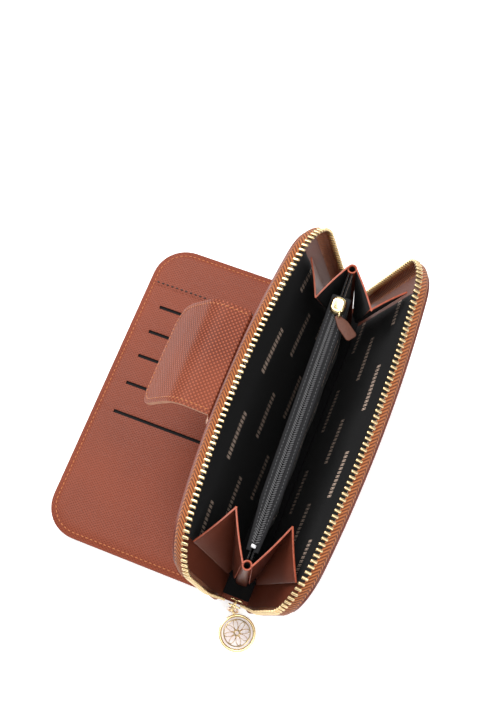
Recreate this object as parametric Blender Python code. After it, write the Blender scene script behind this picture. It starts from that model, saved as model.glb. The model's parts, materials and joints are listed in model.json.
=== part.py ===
"""A zip around wallet standing open on its spine, with its card flap laid out on the table.

Two stiffened covers lean away from a spine. A zip runs round both covers, a zipped coin
pocket divides the inside, and folded gussets close the two ends. A card flap folds out from
the left cover, and a strap tab on that cover closes over the flap. Metres, +Z up, +Y along the
spine, -X towards the flap. The origin is the middle of the spine's underside.
"""

import math
from dataclasses import dataclass

import bmesh
import bpy
from mathutils import Matrix, Vector

# Overall sizes
LENGTH = 0.190
COVER_HEIGHT = 0.102
COVER_CORNER = 0.0207
SPINE_HALF_WIDTH = 0.0103
HINGE_HEIGHT = 0.0020

# Sheets
LEATHER = 0.0012
BOARD = 0.0008
LINING = 0.0005
FABRIC = 0.0007
SHEET_GAP = 0.0003
MOVING_GAP = 0.0006

# Cover layers: how far each stops inside the leather edge
BOARD_INSET = 0.0045
LINING_INSET = 0.0020
COVER_FOOT = 0.0008
SPINE_EDGE_GAP = 0.0008
SPINE_END_INSET = 0.0020
SPINE_CORNER = 0.0030

# Zip round the covers
TAPE_TUCK_IN = 0.0032
TAPE_RISE = 0.0060
TAPE_BEAD = 0.0010
TAPE_PAST_NEAR = 0.0030
TAPE_PAST_FAR = 0.0050
TEETH_OUTSIDE = 0.0032
TOOTH_WIDTH = 0.0033
TOOTH_THICKNESS = 0.0018
TOOTH_PITCH = 0.0030
TOOTH_NECK_SHARE = 0.55
TOOTH_NECK_STEP = 0.0006
ROW_START_NEAR = 0.0110
ROW_START_FAR = 0.0100
ZIP_TUCK = 0.0050
ZIP_TUCK_HEIGHT = 0.0450
STOP_LENGTH = 0.0028

# Divider with the coin pocket
DIVIDER_TOP = 0.0852
DIVIDER_TOP_SHIFT = 0.0066
DIVIDER_SKEW = 0.040
POCKET_HALF_WIDTH = 0.0046
POCKET_SEAM = 0.00045
POCKET_OPEN_NEAR = -0.0480
POCKET_OPEN_FAR = 0.0500
POCKET_TAPER = 0.0100
POCKET_SWELL_HEIGHT = 0.35
POCKET_SWELL = 0.75
COIN_ZIP_NEAR = -0.0750
COIN_ZIP_FAR = 0.0660
COIN_BAND_WIDTH = 0.0107
COIN_BAND_NEAR_WIDTH = 0.0080
COIN_BAND_TAPER = 0.0300
COIL_WIDTH = 0.0026
COIL_CROWN = 0.6
COIL_THICKNESS = 0.0010
COIL_TAPE_LAP = 0.0008
COIL_START = 0.0040
COIL_END = 0.0060
COIN_STOP_LENGTH = 0.0020
COIN_STOP_NEAR = 0.0024
COIN_STOP_FAR = 0.0020
COIN_SLIDER_REST = 0.0018
COIN_SLIDER_ROUNDING = 0.0014
COIN_SLIDER_LENGTH = 0.0095
COIN_SLIDER_WIDTH = 0.0080
COIN_SLIDER_HEIGHT = 0.0034
COIN_PULL_LENGTH = 0.0150
COIN_PULL_WIDTH = 0.0062
COIN_PULL_ROOT = 0.0016
COIN_PULL_CORNER = 0.0015
COIN_PULL_NECK = ((0.0040, 0.0031), (0.0, 0.0019), (-0.0016, 0.0012))
COIN_PULL_HOLE = 0.0012
COIN_PULL_HEADING = (0.80, -0.60)
COIN_HOOP = 0.0019
COIN_HOOP_X = 0.0022

# Gussets
GUSSET_THICKNESS = 0.0010
GUSSET_FOOT = 0.0140
GUSSET_EDGE_HEIGHT = 0.0825
GUSSET_FOLD_DROP = 0.0035
GUSSET_FROM_END = {"near": 0.0130, "far": 0.0115}
GUSSET_FOLD_ANGLE = {"near": math.radians(18.6), "far": math.radians(15.2)}
FOLD_WRAP = 42
FOLD_TUBE_RADIUS = 0.0027
FOLD_TUBE_HOLE = 0.0016
FOLD_TUBE_TOP = 0.0840
FOLD_TUBE_FOOT = 0.0009
FOLD_TUBE_DEPTH = 0.0180
FOLD_TUBE_NARROWING = 0.8

# Card flap
FLAP_REACH = 0.1068
FLAP_LENGTH = 0.186
FLAP_CORNER = 0.0200
FLAP_HINGE_OUT = 0.0021
FLAP_HINGE_GAP = 0.0012
FLAP_BOARD_INSET = 0.0040
FLAP_ROOT_INSET = 0.0030
CARD_SEAM_Y = 0.0660
CARD_SLOTS_Y = (0.0530, 0.0365, 0.0205, 0.0027, -0.0158)
CARD_SLOT_START = 0.0125
CARD_SLOT_LENGTH = 0.0880
CARD_SLOT_WIDTH = 0.0018

# Strap tab
TAB_WIDTH = 0.0585
TAB_CENTRE_Y = 0.0036
TAB_LINING = 0.0012
TAB_ROOT_LENGTH = 0.0173
TAB_ROOT_RISE = math.radians(8.0)
TAB_TIP_LENGTH = 0.0430
TAB_TIP_FALL = math.radians(56.5)
TAB_CORNER = 0.0120
TAB_ANCHOR_LENGTH = 0.0200
TAB_ANCHOR_DROP = 0.0020
TAB_HINGE_HEIGHT = 0.1010
TAB_ROOT_START = 0.0012
TAB_RIDGE_GAP = 0.0004
MAGNET_RADIUS = 0.0050
MAGNET_THICKNESS = 0.0006
MAGNET_FIT = 0.0001
MAGNET_FROM_TIP = 0.0160

# Main slider, link and charm
SLIDER_HEIGHT = 0.0068
SLIDER_WIDTH = 0.0074
SLIDER_PLATE = 0.0009
SLIDER_NECK = 0.0007
SLIDER_REST = 0.0036
SLIDER_CLEARANCE = 0.0004
SLIDER_ROUNDING = 0.0003
BAIL_RADIUS = 0.0024
BAIL_WIRE = 0.0005
BAIL_GAP = 0.0005
BAIL_DROP = 0.0010
LINK_WIRE = 0.00055
LUG_RADIUS = 0.0017
LUG_WIRE = 0.0005
LUG_OUT = 0.0012
CHARM_SHIFT = 0.0080
CHARM_OUT = 0.0127
CHARM_RADIUS = 0.01025
CHARM_RIM = 0.0016
CHARM_LIP = 0.0004
CHARM_THICKNESS = 0.0022
CHARM_FACE_THICKNESS = 0.0012

# Colours
BROWN = (0.235, 0.065, 0.030)
CARAMEL = (0.520, 0.190, 0.060)
PAINTED_EDGE = (0.560, 0.120, 0.060)
BLACK = (0.010, 0.010, 0.011)
CARDBOARD = (0.30, 0.24, 0.17)
GOLD = (0.830, 0.640, 0.330)
PALE_METAL = (0.860, 0.820, 0.760)
STEEL = (0.400, 0.400, 0.410)


@dataclass
class Side:
    """One cover: its name, which way X points into the wallet, its lean and its bow."""

    name: str
    inward: int
    lean: float
    bow: float


LEFT = Side("left", 1, math.radians(8.8), 0.0078)
RIGHT = Side("right", -1, math.radians(19.7), 0.0057)

# What follows from the sizes above
BOARD_IN = LEATHER + SHEET_GAP
LINING_IN = BOARD_IN + BOARD + SHEET_GAP
LINING_FACE = LINING_IN + LINING
HINGE_DEPTH = LINING_FACE + MOVING_GAP + SHEET_GAP + GUSSET_THICKNESS
TEETH_IN = TAPE_RISE + SHEET_GAP
TEETH_HEAD = TEETH_IN + TOOTH_WIDTH
MIDDLE_FOOT = SPINE_HALF_WIDTH - HINGE_DEPTH - 3 * MOVING_GAP
BAND_UNDERSIDE = DIVIDER_TOP + SHEET_GAP
BAND_TOP = BAND_UNDERSIDE + FABRIC
FLAP_LEATHER_TOP = LEATHER - SHEET_GAP
FLAP_BOARD_LOW = FLAP_LEATHER_TOP + SHEET_GAP
FLAP_FABRIC_LOW = FLAP_BOARD_LOW + BOARD + SHEET_GAP
CARD_PANEL_LOW = FLAP_FABRIC_LOW + SHEET_GAP + SHEET_GAP
CARD_PANEL_TOP = CARD_PANEL_LOW + LEATHER - SHEET_GAP
TAB_LAYERS = TAB_LINING + SHEET_GAP + LEATHER
SPINE_LINING_TOP = LEATHER + LINING
GUSSET_END = {"near": GUSSET_FROM_END["near"] - LENGTH / 2, "far": LENGTH / 2 - GUSSET_FROM_END["far"]}
CHARM_CENTRE = (CHARM_SHIFT, -LENGTH / 2 - CHARM_OUT)
FLAP_HINGE_X = SPINE_HALF_WIDTH + FLAP_HINGE_OUT
FLAP_HINGE_Z = (CARD_PANEL_TOP + SHEET_GAP) / 2
FLAP_MAGNET_X = -(FLAP_HINGE_X + TAB_HINGE_HEIGHT - (TAB_TIP_LENGTH - MAGNET_FROM_TIP) - HINGE_HEIGHT)


# ---------------------------------------------------------------- Blender helpers


def clear_scene() -> None:
    """Remove every object that the scene starts with."""
    for item in list(bpy.data.objects):
        bpy.data.objects.remove(item, do_unlink=True)


def material(name: str, colour: tuple, roughness: float, metallic: float = 0.0):
    """A Principled material of one plain colour."""
    made = bpy.data.materials.new(name)
    made.use_nodes = True
    shader = made.node_tree.nodes["Principled BSDF"]
    shader.inputs["Base Color"].default_value = (*colour, 1.0)
    shader.inputs["Roughness"].default_value = roughness
    shader.inputs["Metallic"].default_value = metallic
    made.diffuse_color = (*colour, 1.0)
    return made


class Pivot:
    """An empty on a joint's axis, which a moving body hangs on, and its place in the world."""

    def __init__(self, name: str, matrix: Matrix, parent: "Pivot | None" = None):
        self.matrix = matrix
        self.empty = bpy.data.objects.new(name, None)
        self.empty.empty_display_size = 0.01
        bpy.context.scene.collection.objects.link(self.empty)
        if parent is not None:
            self.empty.parent = parent.empty
            self.empty.matrix_parent_inverse = parent.matrix.inverted()
        self.empty.matrix_basis = matrix


def add_object(name: str, mesh_source: bmesh.types.BMesh, look, pivot: Pivot, smooth: bool = True):
    """Turn a bmesh in the pivot's own frame into a named object."""
    bmesh.ops.remove_doubles(mesh_source, verts=mesh_source.verts, dist=1e-7)
    bmesh.ops.recalc_face_normals(mesh_source, faces=mesh_source.faces)
    mesh = bpy.data.meshes.new(name)
    mesh_source.to_mesh(mesh)
    mesh_source.free()
    mesh.materials.append(look)
    if smooth:
        mesh.shade_smooth()
        mesh.set_sharp_from_angle(angle=math.radians(35))
    made = bpy.data.objects.new(name, mesh)
    bpy.context.scene.collection.objects.link(made)
    made.parent = pivot.empty
    return made


def skinned(rings: list) -> bmesh.types.BMesh:
    """A closed body through rings of points, with a cap on the first and the last ring.

    Each side is split along matching diagonals on the ring's two halves, so that thin twisted
    sheets that lie one inside the other keep their gap.
    """
    body = bmesh.new()
    loops = [[body.verts.new(point) for point in ring] for ring in rings]
    count = len(loops[0])
    for low, high in zip(loops, loops[1:]):
        for this in range(count):
            after = (this + 1) % count
            corners = (low[this], low[after], high[after], high[this])
            if this >= count // 2:
                corners = corners[1:] + corners[:1]
            body.faces.new((corners[0], corners[1], corners[2]))
            body.faces.new((corners[0], corners[2], corners[3]))
    body.faces.new(loops[0])
    body.faces.new(loops[-1])
    return body


def slab(outline: list, low: float, high: float) -> bmesh.types.BMesh:
    """A flat outline in X and Y, extruded from one height to another."""
    body = bmesh.new()
    face = body.faces.new([body.verts.new((x, y, low)) for x, y in outline])
    raised = bmesh.ops.extrude_face_region(body, geom=[face])["geom"]
    corners = [item for item in raised if isinstance(item, bmesh.types.BMVert)]
    bmesh.ops.translate(body, verts=corners, vec=(0, 0, high - low))
    return body


def block(centre: tuple, size: tuple) -> bmesh.types.BMesh:
    """A box by its centre and its three sides."""
    body = bmesh.new()
    place = Matrix.Translation(centre) @ Matrix.Diagonal((*size, 1.0))
    bmesh.ops.create_cube(body, size=1.0, matrix=place)
    return body


def drum(radius: float, low: float, high: float, centre=(0.0, 0.0), segments: int = 32):
    """A solid cylinder along Z."""
    body = bmesh.new()
    place = Matrix.Translation((*centre, (low + high) / 2))
    bmesh.ops.create_cone(
        body, cap_ends=True, segments=segments, radius1=radius, radius2=radius, depth=high - low, matrix=place
    )
    return body


def turned(profile: list, segments: int = 32) -> bmesh.types.BMesh:
    """A closed ring: a closed profile of (radius, height) turned about Z."""
    body = bmesh.new()
    corners = [body.verts.new((radius, 0, height)) for radius, height in profile]
    edges = [body.edges.new((a, b)) for a, b in zip(corners, corners[1:] + corners[:1])]
    bmesh.ops.spin(
        body, geom=corners + edges, cent=(0, 0, 0), axis=(0, 0, 1), angle=math.tau, steps=segments, use_merge=True
    )
    return body


def round_profile(ring: float, wire: float, sides: int = 8) -> list:
    """The round section of a wire ring."""
    turns = [math.tau * step / sides for step in range(sides)]
    return [(ring + wire * math.cos(turn), wire * math.sin(turn)) for turn in turns]


def rounded_outline(x_low, x_high, y_low, y_high, radius, corners, steps: int = 8) -> list:
    """A rectangle whose named corners, like "-+" for low X and high Y, are round."""
    outline = []
    for key, start in (("++", 0.0), ("-+", 0.25), ("--", 0.5), ("+-", 0.75)):
        x = x_high if key[0] == "+" else x_low
        y = y_high if key[1] == "+" else y_low
        if key not in corners:
            outline.append((x, y))
            continue
        centre_x = x - math.copysign(radius, x - (x_low + x_high) / 2)
        centre_y = y - math.copysign(radius, y - (y_low + y_high) / 2)
        for step in range(steps + 1):
            turn = math.tau * (start + 0.25 * step / steps)
            outline.append((centre_x + radius * math.cos(turn), centre_y + radius * math.sin(turn)))
    return outline


def cutter(name: str, mesh_source: bmesh.types.BMesh, look, pivot: Pivot):
    """A helper that only cuts or joins: hidden from the render and drawn as wire."""
    made = add_object(name, mesh_source, look, pivot, smooth=False)
    made.hide_render = True
    made.display_type = "WIRE"
    return made


def combine(target, other, operation: str) -> None:
    """Cut a helper from an object, or join it on."""
    change = target.modifiers.new(other.name, "BOOLEAN")
    change.object = other
    change.operation = operation
    change.solver = "EXACT"


def soften(target, width: float, segments: int = 2) -> None:
    """Round an object's sharp edges."""
    change = target.modifiers.new("rounded", "BEVEL")
    change.width = width
    change.segments = segments
    change.limit_method = "ANGLE"
    change.angle_limit = math.radians(40)


# ---------------------------------------------------------------- covers


def cover_pivot(side: Side) -> Pivot:
    """The frame of one cover: origin on its hinge, Y along the hinge, Z up the cover."""
    turn = Matrix.Rotation(-side.inward * side.lean, 4, "Y")
    return Pivot(f"{side.name}_cover_pivot", Matrix.Translation(cover_hinge(side)) @ turn)


def cover_hinge(side: Side) -> Vector:
    """The middle of a cover's hinge line, just inside the foot of its lining."""
    x = -side.inward * (SPINE_HALF_WIDTH - HINGE_DEPTH * math.cos(side.lean))
    return Vector((x, 0, HINGE_HEIGHT + HINGE_DEPTH * math.sin(side.lean)))


def on_cover(side: Side, along: float, up: float, inward: float) -> Vector:
    """A point of a cover in its own frame. The rim bows outwards towards mid length."""
    bow = side.bow * (1 - (2 * along / LENGTH) ** 2) * up / COVER_HEIGHT
    return Vector((side.inward * (inward - bow - HINGE_DEPTH), along, up))


def cover_columns(inset: float, steps: int = 22) -> list:
    """(along, top) of a cover sheet's columns, which follow its two round corners."""
    half = LENGTH / 2 - inset
    radius = COVER_CORNER - inset
    arcs = [math.radians(90 * step / 7) for step in range(8)]
    near = [(-half + radius * (1 - math.sin(turn)), radius * math.cos(turn)) for turn in reversed(arcs)]
    straight = half - radius
    middle = [(-straight + 2 * straight * step / steps, radius) for step in range(1, steps)]
    far = [(-along, rise) for along, rise in reversed(near)]
    base = COVER_HEIGHT - inset - radius
    return [(along, base + rise) for along, rise in near + middle + far]


def cover_sheet(side: Side, inset: float, low: float, high: float) -> bmesh.types.BMesh:
    """One layer of a cover, between two depths from the leather's outer face."""
    return skinned(
        [
            [
                on_cover(side, along, COVER_FOOT, low),
                on_cover(side, along, top, low),
                on_cover(side, along, top, high),
                on_cover(side, along, COVER_FOOT, high),
            ]
            for along, top in cover_columns(inset)
        ]
    )


def rim_path(start_near: float, start_far: float, spacing: float) -> list:
    """Evenly spaced (along, up, outward along, outward up) round a cover's leather edge."""
    half = LENGTH / 2
    side_run = COVER_HEIGHT - COVER_CORNER
    quarter = math.pi / 2 * (COVER_CORNER + TEETH_OUTSIDE)
    top_run = LENGTH - 2 * COVER_CORNER
    lengths = (side_run - start_near, quarter, top_run, quarter, side_run - start_far)
    count = round(sum(lengths) / spacing)
    points = []
    for step in range(count + 1):
        reach = sum(lengths) * step / count
        if reach <= lengths[0]:
            points.append((-half, start_near + reach, -1.0, 0.0))
            continue
        reach -= lengths[0]
        if reach <= quarter:
            turn = math.pi / 2 * reach / quarter
            points.append(corner_point(-1, turn))
            continue
        reach -= quarter
        if reach <= top_run:
            points.append((-half + COVER_CORNER + reach, COVER_HEIGHT, 0.0, 1.0))
            continue
        reach -= top_run
        if reach <= quarter:
            turn = math.pi / 2 * (1 - reach / quarter)
            points.append(corner_point(1, turn))
            continue
        points.append((half, side_run - (reach - quarter), 1.0, 0.0))
    return points


def corner_point(end: int, turn: float) -> tuple:
    """A point of the rim's round corner, turned from level (0) to upright (90 degrees)."""
    level, upright = math.cos(turn), math.sin(turn)
    along = end * (LENGTH / 2 - COVER_CORNER + COVER_CORNER * level)
    up = COVER_HEIGHT - COVER_CORNER + COVER_CORNER * upright
    return (along, up, end * level, upright)


def on_rim(side: Side, place: tuple, inward: float, outside: float) -> Vector:
    """A point beside the rim path. The zip tucks in near the slider's resting end."""
    along, up, out_along, out_up = place
    share = min(max((inward - BOARD_IN) / (TAPE_RISE - BOARD_IN - TAPE_BEAD), 0.0), 1.0)
    tuck = zip_tuck(up) * share if out_along <= -1.0 else 0.0
    return on_cover(side, along + out_along * outside + tuck, up + out_up * outside, inward)


def zip_tuck(up: float) -> float:
    """How far the zip leans in from its straight run, at a height up the cover."""
    return ZIP_TUCK * max(0.0, 1 - up / ZIP_TUCK_HEIGHT)


def tape_section() -> list:
    """(inward, outside) corners of the zip tape: under the leather, then out to the teeth."""
    half = FABRIC / 2
    low = BOARD_IN
    bend = TAPE_RISE - TAPE_BEAD
    return [
        (low, -TAPE_TUCK_IN),
        (low, -half),
        (bend, TEETH_OUTSIDE + half),
        (TAPE_RISE, TEETH_OUTSIDE + half),
        (TAPE_RISE, TEETH_OUTSIDE - half),
        (bend + half / 2, TEETH_OUTSIDE - half),
        (low + FABRIC, -3 * half),
        (low + FABRIC, -TAPE_TUCK_IN),
    ]


def zip_tape(side: Side) -> bmesh.types.BMesh:
    """The tape of one cover, swept round its rim."""
    path = rim_path(ROW_START_NEAR - TAPE_PAST_NEAR, ROW_START_FAR - TAPE_PAST_FAR, 2 * TOOTH_PITCH)
    return skinned([[on_rim(side, place, *corner) for corner in tape_section()] for place in path])


def zip_row(side: Side) -> bmesh.types.BMesh:
    """One row of teeth as a comb: a tooth and a neck by turns, each pitch along the tape."""
    path = rim_path(ROW_START_NEAR, ROW_START_FAR, TOOTH_PITCH / 2)
    rings = []
    for index, place in enumerate(path):
        neck = index % 2
        half = TOOTH_THICKNESS / 2 * (TOOTH_NECK_SHARE if neck else 1.0)
        low = TEETH_IN + neck * TOOTH_NECK_STEP
        high = TEETH_HEAD - neck * TOOTH_NECK_STEP
        corners = ((low, -half), (low, half), (high, half), (high, -half))
        rings.append([on_rim(side, place, inward, TEETH_OUTSIDE + out) for inward, out in corners])
    return skinned(rings)


def zip_stop(side: Side) -> bmesh.types.BMesh:
    """The metal stop below a row's far end, which keeps the slider on."""
    half = TOOTH_THICKNESS / 2
    corners = ((TEETH_IN, -half), (TEETH_IN, half), (TEETH_HEAD, half), (TEETH_HEAD, -half))
    high = ROW_START_FAR - MOVING_GAP
    rings = []
    for up in (high - STOP_LENGTH, high):
        place = (LENGTH / 2, up, 1.0, 0.0)
        rings.append([on_rim(side, place, inward, TEETH_OUTSIDE + out) for inward, out in corners])
    return skinned(rings)


def build_cover(side: Side, pivot: Pivot, looks: dict) -> None:
    """A cover's leather, board, lining, zip tape, teeth and end stop."""
    name = side.name
    add_object(f"{name}_cover_leather", cover_sheet(side, 0.0, 0.0, LEATHER), looks["leather"], pivot)
    board = cover_sheet(side, BOARD_INSET, BOARD_IN, BOARD_IN + BOARD)
    add_object(f"{name}_cover_board", board, looks["cardboard"], pivot)
    lining = cover_sheet(side, LINING_INSET, LINING_IN, LINING_FACE)
    add_object(f"{name}_cover_lining", lining, looks["lining"], pivot)
    add_object(f"{name}_zip_tape", zip_tape(side), looks["tape"], pivot)
    add_object(f"{name}_zip_teeth", zip_row(side), looks["gold"], pivot)
    add_object(f"{name}_zip_stop", zip_stop(side), looks["gold"], pivot)


# ---------------------------------------------------------------- spine and coin pocket


def divider_x(along: float, height: float) -> float:
    """Middle of the divider: it leans towards the right cover, more so at the near end."""
    top_shift = DIVIDER_TOP_SHIFT - DIVIDER_SKEW * along
    return top_shift * height / BAND_TOP


def pocket_width(along: float) -> float:
    """Half the coin pocket's inner width at its mouth: its two panels meet at the ends."""
    near = (along - (POCKET_OPEN_NEAR - POCKET_TAPER)) / POCKET_TAPER
    far = ((POCKET_OPEN_FAR + POCKET_TAPER) - along) / POCKET_TAPER
    share = min(max(min(near, far), 0.0), 1.0)
    eased = share * share * (3 - 2 * share)
    return POCKET_SEAM + (POCKET_HALF_WIDTH - POCKET_SEAM) * eased


def pocket_panel(sign: int) -> bmesh.types.BMesh:
    """One side of the coin pocket, from the spine up to the zip band."""
    low = SPINE_LINING_TOP + SHEET_GAP
    levels = ((low, 0.0), (POCKET_SWELL_HEIGHT * DIVIDER_TOP, POCKET_SWELL), (DIVIDER_TOP, 1.0))
    near = GUSSET_END["near"] + FOLD_TUBE_RADIUS + MOVING_GAP
    far = GUSSET_END["far"] - FOLD_TUBE_RADIUS - MOVING_GAP
    steps = 34
    rings = []
    for step in range(steps + 1):
        along = near + (far - near) * step / steps
        inner, outer = [], []
        for height, share in levels:
            half = POCKET_SEAM + (pocket_width(along) - POCKET_SEAM) * share
            middle = divider_x(along, height)
            inner.append((middle + sign * half, along, height))
            outer.append((middle + sign * (half + FABRIC), along, height))
        rings.append(inner + outer[::-1])
    return skinned(rings)


def coin_band_half(along: float) -> float:
    """Half the zip band's width: it narrows into the near gusset."""
    share = min(max((along - COIN_ZIP_NEAR) / COIN_BAND_TAPER, 0.0), 1.0)
    return (COIN_BAND_NEAR_WIDTH + (COIN_BAND_WIDTH - COIN_BAND_NEAR_WIDTH) * share) / 2


def coin_tape(sign: int) -> bmesh.types.BMesh:
    """One tape of the coin zip, level across the top of the pocket."""
    steps = 24
    inner = COIL_WIDTH / 2 - COIL_TAPE_LAP
    rings = []
    for step in range(steps + 1):
        along = COIN_ZIP_NEAR + (COIN_ZIP_FAR - COIN_ZIP_NEAR) * step / steps
        middle = divider_x(along, BAND_TOP)
        edges = (middle + sign * inner, middle + sign * coin_band_half(along))
        ring = [(edges[0], along, BAND_UNDERSIDE), (edges[1], along, BAND_UNDERSIDE)]
        rings.append(ring + [(edges[1], along, BAND_TOP), (edges[0], along, BAND_TOP)])
    return skinned(rings)


def coin_coil() -> bmesh.types.BMesh:
    """The meshed coil down the middle of the band."""
    low = BAND_TOP + SHEET_GAP
    high = low + COIL_THICKNESS
    half = COIL_WIDTH / 2
    crown = half * COIL_CROWN
    rings = []
    for along in (COIN_ZIP_NEAR + COIL_START, COIN_ZIP_FAR - COIL_END):
        middle = divider_x(along, BAND_TOP)
        ring = [(middle - half, along, low), (middle + half, along, low)]
        rings.append(ring + [(middle + crown, along, high), (middle - crown, along, high)])
    return skinned(rings)


def coin_stop(along: float) -> bmesh.types.BMesh:
    """A small metal stop across the coil's end."""
    low = BAND_TOP + SHEET_GAP
    centre = (divider_x(along, BAND_TOP), along, low + COIL_THICKNESS / 2)
    return block(centre, (COIL_WIDTH, COIN_STOP_LENGTH, COIL_THICKNESS))


def build_spine(root: Pivot, looks: dict) -> None:
    """The spine's leather and lining, and the coin pocket that stands on them."""
    half = SPINE_HALF_WIDTH - SPINE_EDGE_GAP
    end = LENGTH / 2 - SPINE_END_INSET
    corners = ("++", "-+", "--", "+-")
    leather = slab(rounded_outline(-half, half, -end, end, SPINE_CORNER, corners, 3), 0.0, LEATHER)
    add_object("spine_leather", leather, looks["leather"], root)
    low = LEATHER + SHEET_GAP
    size = (2 * half - SPINE_CORNER, 2 * (end - SPINE_CORNER), SPINE_LINING_TOP - low)
    lining = block((0, 0, (low + SPINE_LINING_TOP) / 2), size)
    add_object("spine_lining", lining, looks["lining"], root, smooth=False)
    for side in (LEFT, RIGHT):
        panel = pocket_panel(-side.inward)
        add_object(f"coin_pocket_{side.name}_panel", panel, looks["lining"], root)
        add_object(f"coin_zip_{side.name}_tape", coin_tape(-side.inward), looks["black tape"], root)
    add_object("coin_zip_coil", coin_coil(), looks["black tape"], root)
    add_object("coin_zip_near_stop", coin_stop(COIN_ZIP_NEAR + COIN_STOP_NEAR), looks["steel"], root, smooth=False)
    add_object("coin_zip_far_stop", coin_stop(COIN_ZIP_FAR - COIN_STOP_FAR), looks["steel"], root, smooth=False)


# ---------------------------------------------------------------- gussets


def gusset_corner(side: Side, end: str) -> Vector:
    """Where a gusset's three fold lines meet: on the cover's hinge, at the wallet's end."""
    return cover_hinge(side) + Vector((0, GUSSET_END[end], 0))


def cover_line(side: Side, end: str, pivot: Pivot) -> Vector:
    """Direction of the fold line where a gusset is sewn to its cover."""
    top = pivot.matrix @ on_cover(side, GUSSET_END[end], GUSSET_EDGE_HEIGHT, HINGE_DEPTH)
    return (top - gusset_corner(side, end)).normalized()


def middle_line(side: Side, end: str) -> Vector:
    """Direction of the fold line where a gusset is sewn to the middle tube."""
    reach = FOLD_TUBE_RADIUS + MOVING_GAP
    height = GUSSET_EDGE_HEIGHT
    x = divider_x(GUSSET_END[end], height) - side.inward * reach
    return (Vector((x, GUSSET_END[end], height)) - gusset_corner(side, end)).normalized()


def fold_line(end: str, first: Vector, second: Vector) -> Vector:
    """Direction of the inner fold, which makes the same angle with both sewn lines."""
    angle = GUSSET_FOLD_ANGLE[end]
    middle = (first + second).normalized()
    inwards = Vector((0, -math.copysign(1, GUSSET_END[end]), 0))
    inwards = (inwards - inwards.dot(middle) * middle).normalized()
    half = first.angle(second) / 2
    up_share = math.cos(angle) / math.cos(half)
    return (up_share * middle + math.sqrt(1 - up_share**2) * inwards).normalized()


def leaf_pivot(name: str, corner: Vector, hinge: Vector, fold: Vector, parent: Pivot) -> Pivot:
    """A leaf's frame: Z up its sewn line, X in the leaf towards the fold."""
    across = (fold - fold.dot(hinge) * hinge).normalized()
    normal = hinge.cross(across)
    turn = Matrix((across, normal, hinge)).transposed().to_4x4()
    return Pivot(name, Matrix.Translation(corner) @ turn, parent)


def leaf_section(reach: float, outer: float, capped: bool) -> list:
    """(across, normal) corners of a leaf's cross section. A capped leaf wraps round the fold."""
    near = SHEET_GAP
    far = SHEET_GAP + GUSSET_THICKNESS
    start = MOVING_GAP + far
    if not capped:
        start += MOVING_GAP
        stop = reach - 2 * MOVING_GAP
        return [(start, outer * near), (start, outer * far), (stop, outer * far), (stop, outer * near)]
    turns = [math.radians(FOLD_WRAP * step / 3) for step in range(4)]
    around = [(reach + far * math.sin(turn), outer * far * math.cos(turn)) for turn in turns]
    back = [(reach + near * math.sin(turn), outer * near * math.cos(turn)) for turn in reversed(turns)]
    return [(start, outer * near), (start, outer * far)] + around + back


def gusset_leaf(angle: float, outer: float, capped: bool) -> bmesh.types.BMesh:
    """A thin leaf that widens upwards from its foot, with its top edge falling to the fold."""
    rings = []
    for height, drop in ((GUSSET_FOOT, 0.0), (GUSSET_EDGE_HEIGHT, GUSSET_FOLD_DROP)):
        reach = height * math.tan(angle)
        section = leaf_section(reach, outer, capped)
        rings.append([(across, normal, height - drop * across / reach) for across, normal in section])
    return skinned(rings)


def build_gussets(root: Pivot, covers: dict, looks: dict) -> None:
    """Two leaves for each cover and end, and the rolled tube that joins them in the middle."""
    for end in ("near", "far"):
        for side in (LEFT, RIGHT):
            corner = gusset_corner(side, end)
            on_side = cover_line(side, end, covers[side.name])
            on_middle = middle_line(side, end)
            fold = fold_line(end, on_side, on_middle)
            for kind, hinge, other, parent in (
                ("cover", on_side, on_middle, covers[side.name]),
                ("middle", on_middle, on_side, root),
            ):
                name = f"gusset_{end}_{side.name}_{kind}_leaf"
                pivot = leaf_pivot(f"{name}_pivot", corner, hinge, fold, parent)
                normal = pivot.matrix.col[1].to_3d()
                outer = -1.0 if normal.dot(other - hinge) > 0 else 1.0
                leaf = gusset_leaf(GUSSET_FOLD_ANGLE[end], outer, kind == "cover")
                add_object(name, leaf, looks["gusset"], pivot)
        add_object(f"gusset_{end}_middle", gusset_middle(end), looks["gusset"], root)


def gusset_middle(end: str) -> bmesh.types.BMesh:
    """The gusset's middle: a flat foot on the spine that rolls into an open tube at the top."""
    along = GUSSET_END[end]
    sides = 14
    turns = [math.tau * step / sides for step in range(sides)]
    foot = SPINE_LINING_TOP + SHEET_GAP

    def ring(height: float, half: float, thick: float) -> list:
        middle = divider_x(along, height)
        return [(middle + half * math.cos(t), along + thick * math.sin(t), height) for t in turns]

    levels = 5
    rings = []
    for level in range(levels + 1):
        share = level / levels
        height = foot + (FOLD_TUBE_TOP - foot) * share
        half = MIDDLE_FOOT * (1 - share) + FOLD_TUBE_RADIUS * share
        thick = FOLD_TUBE_FOOT + (FOLD_TUBE_RADIUS - FOLD_TUBE_FOOT) * share
        rings.append(ring(height, half, thick))
    rings.append(ring(FOLD_TUBE_TOP, FOLD_TUBE_HOLE, FOLD_TUBE_HOLE))
    narrow = FOLD_TUBE_HOLE * FOLD_TUBE_NARROWING
    rings.append(ring(FOLD_TUBE_TOP - FOLD_TUBE_DEPTH, narrow, narrow))
    return skinned(rings)


# ---------------------------------------------------------------- card flap


def flap_outline(inset: float, low_y: float | None = None, high_y: float | None = None, root: float = 0.0) -> list:
    """The flap in plan, inset from its edge, or only its part between two Y values."""
    outer = -(FLAP_HINGE_X + FLAP_REACH) + inset
    inner = -(FLAP_HINGE_X + FLAP_HINGE_GAP) - root
    half = FLAP_LENGTH / 2 - inset
    corners = [key for key, cut in (("-+", high_y), ("--", low_y)) if cut is None]
    low = -half if low_y is None else low_y
    high = half if high_y is None else high_y
    return rounded_outline(outer, inner, low, high, FLAP_CORNER - inset, corners)


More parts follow.
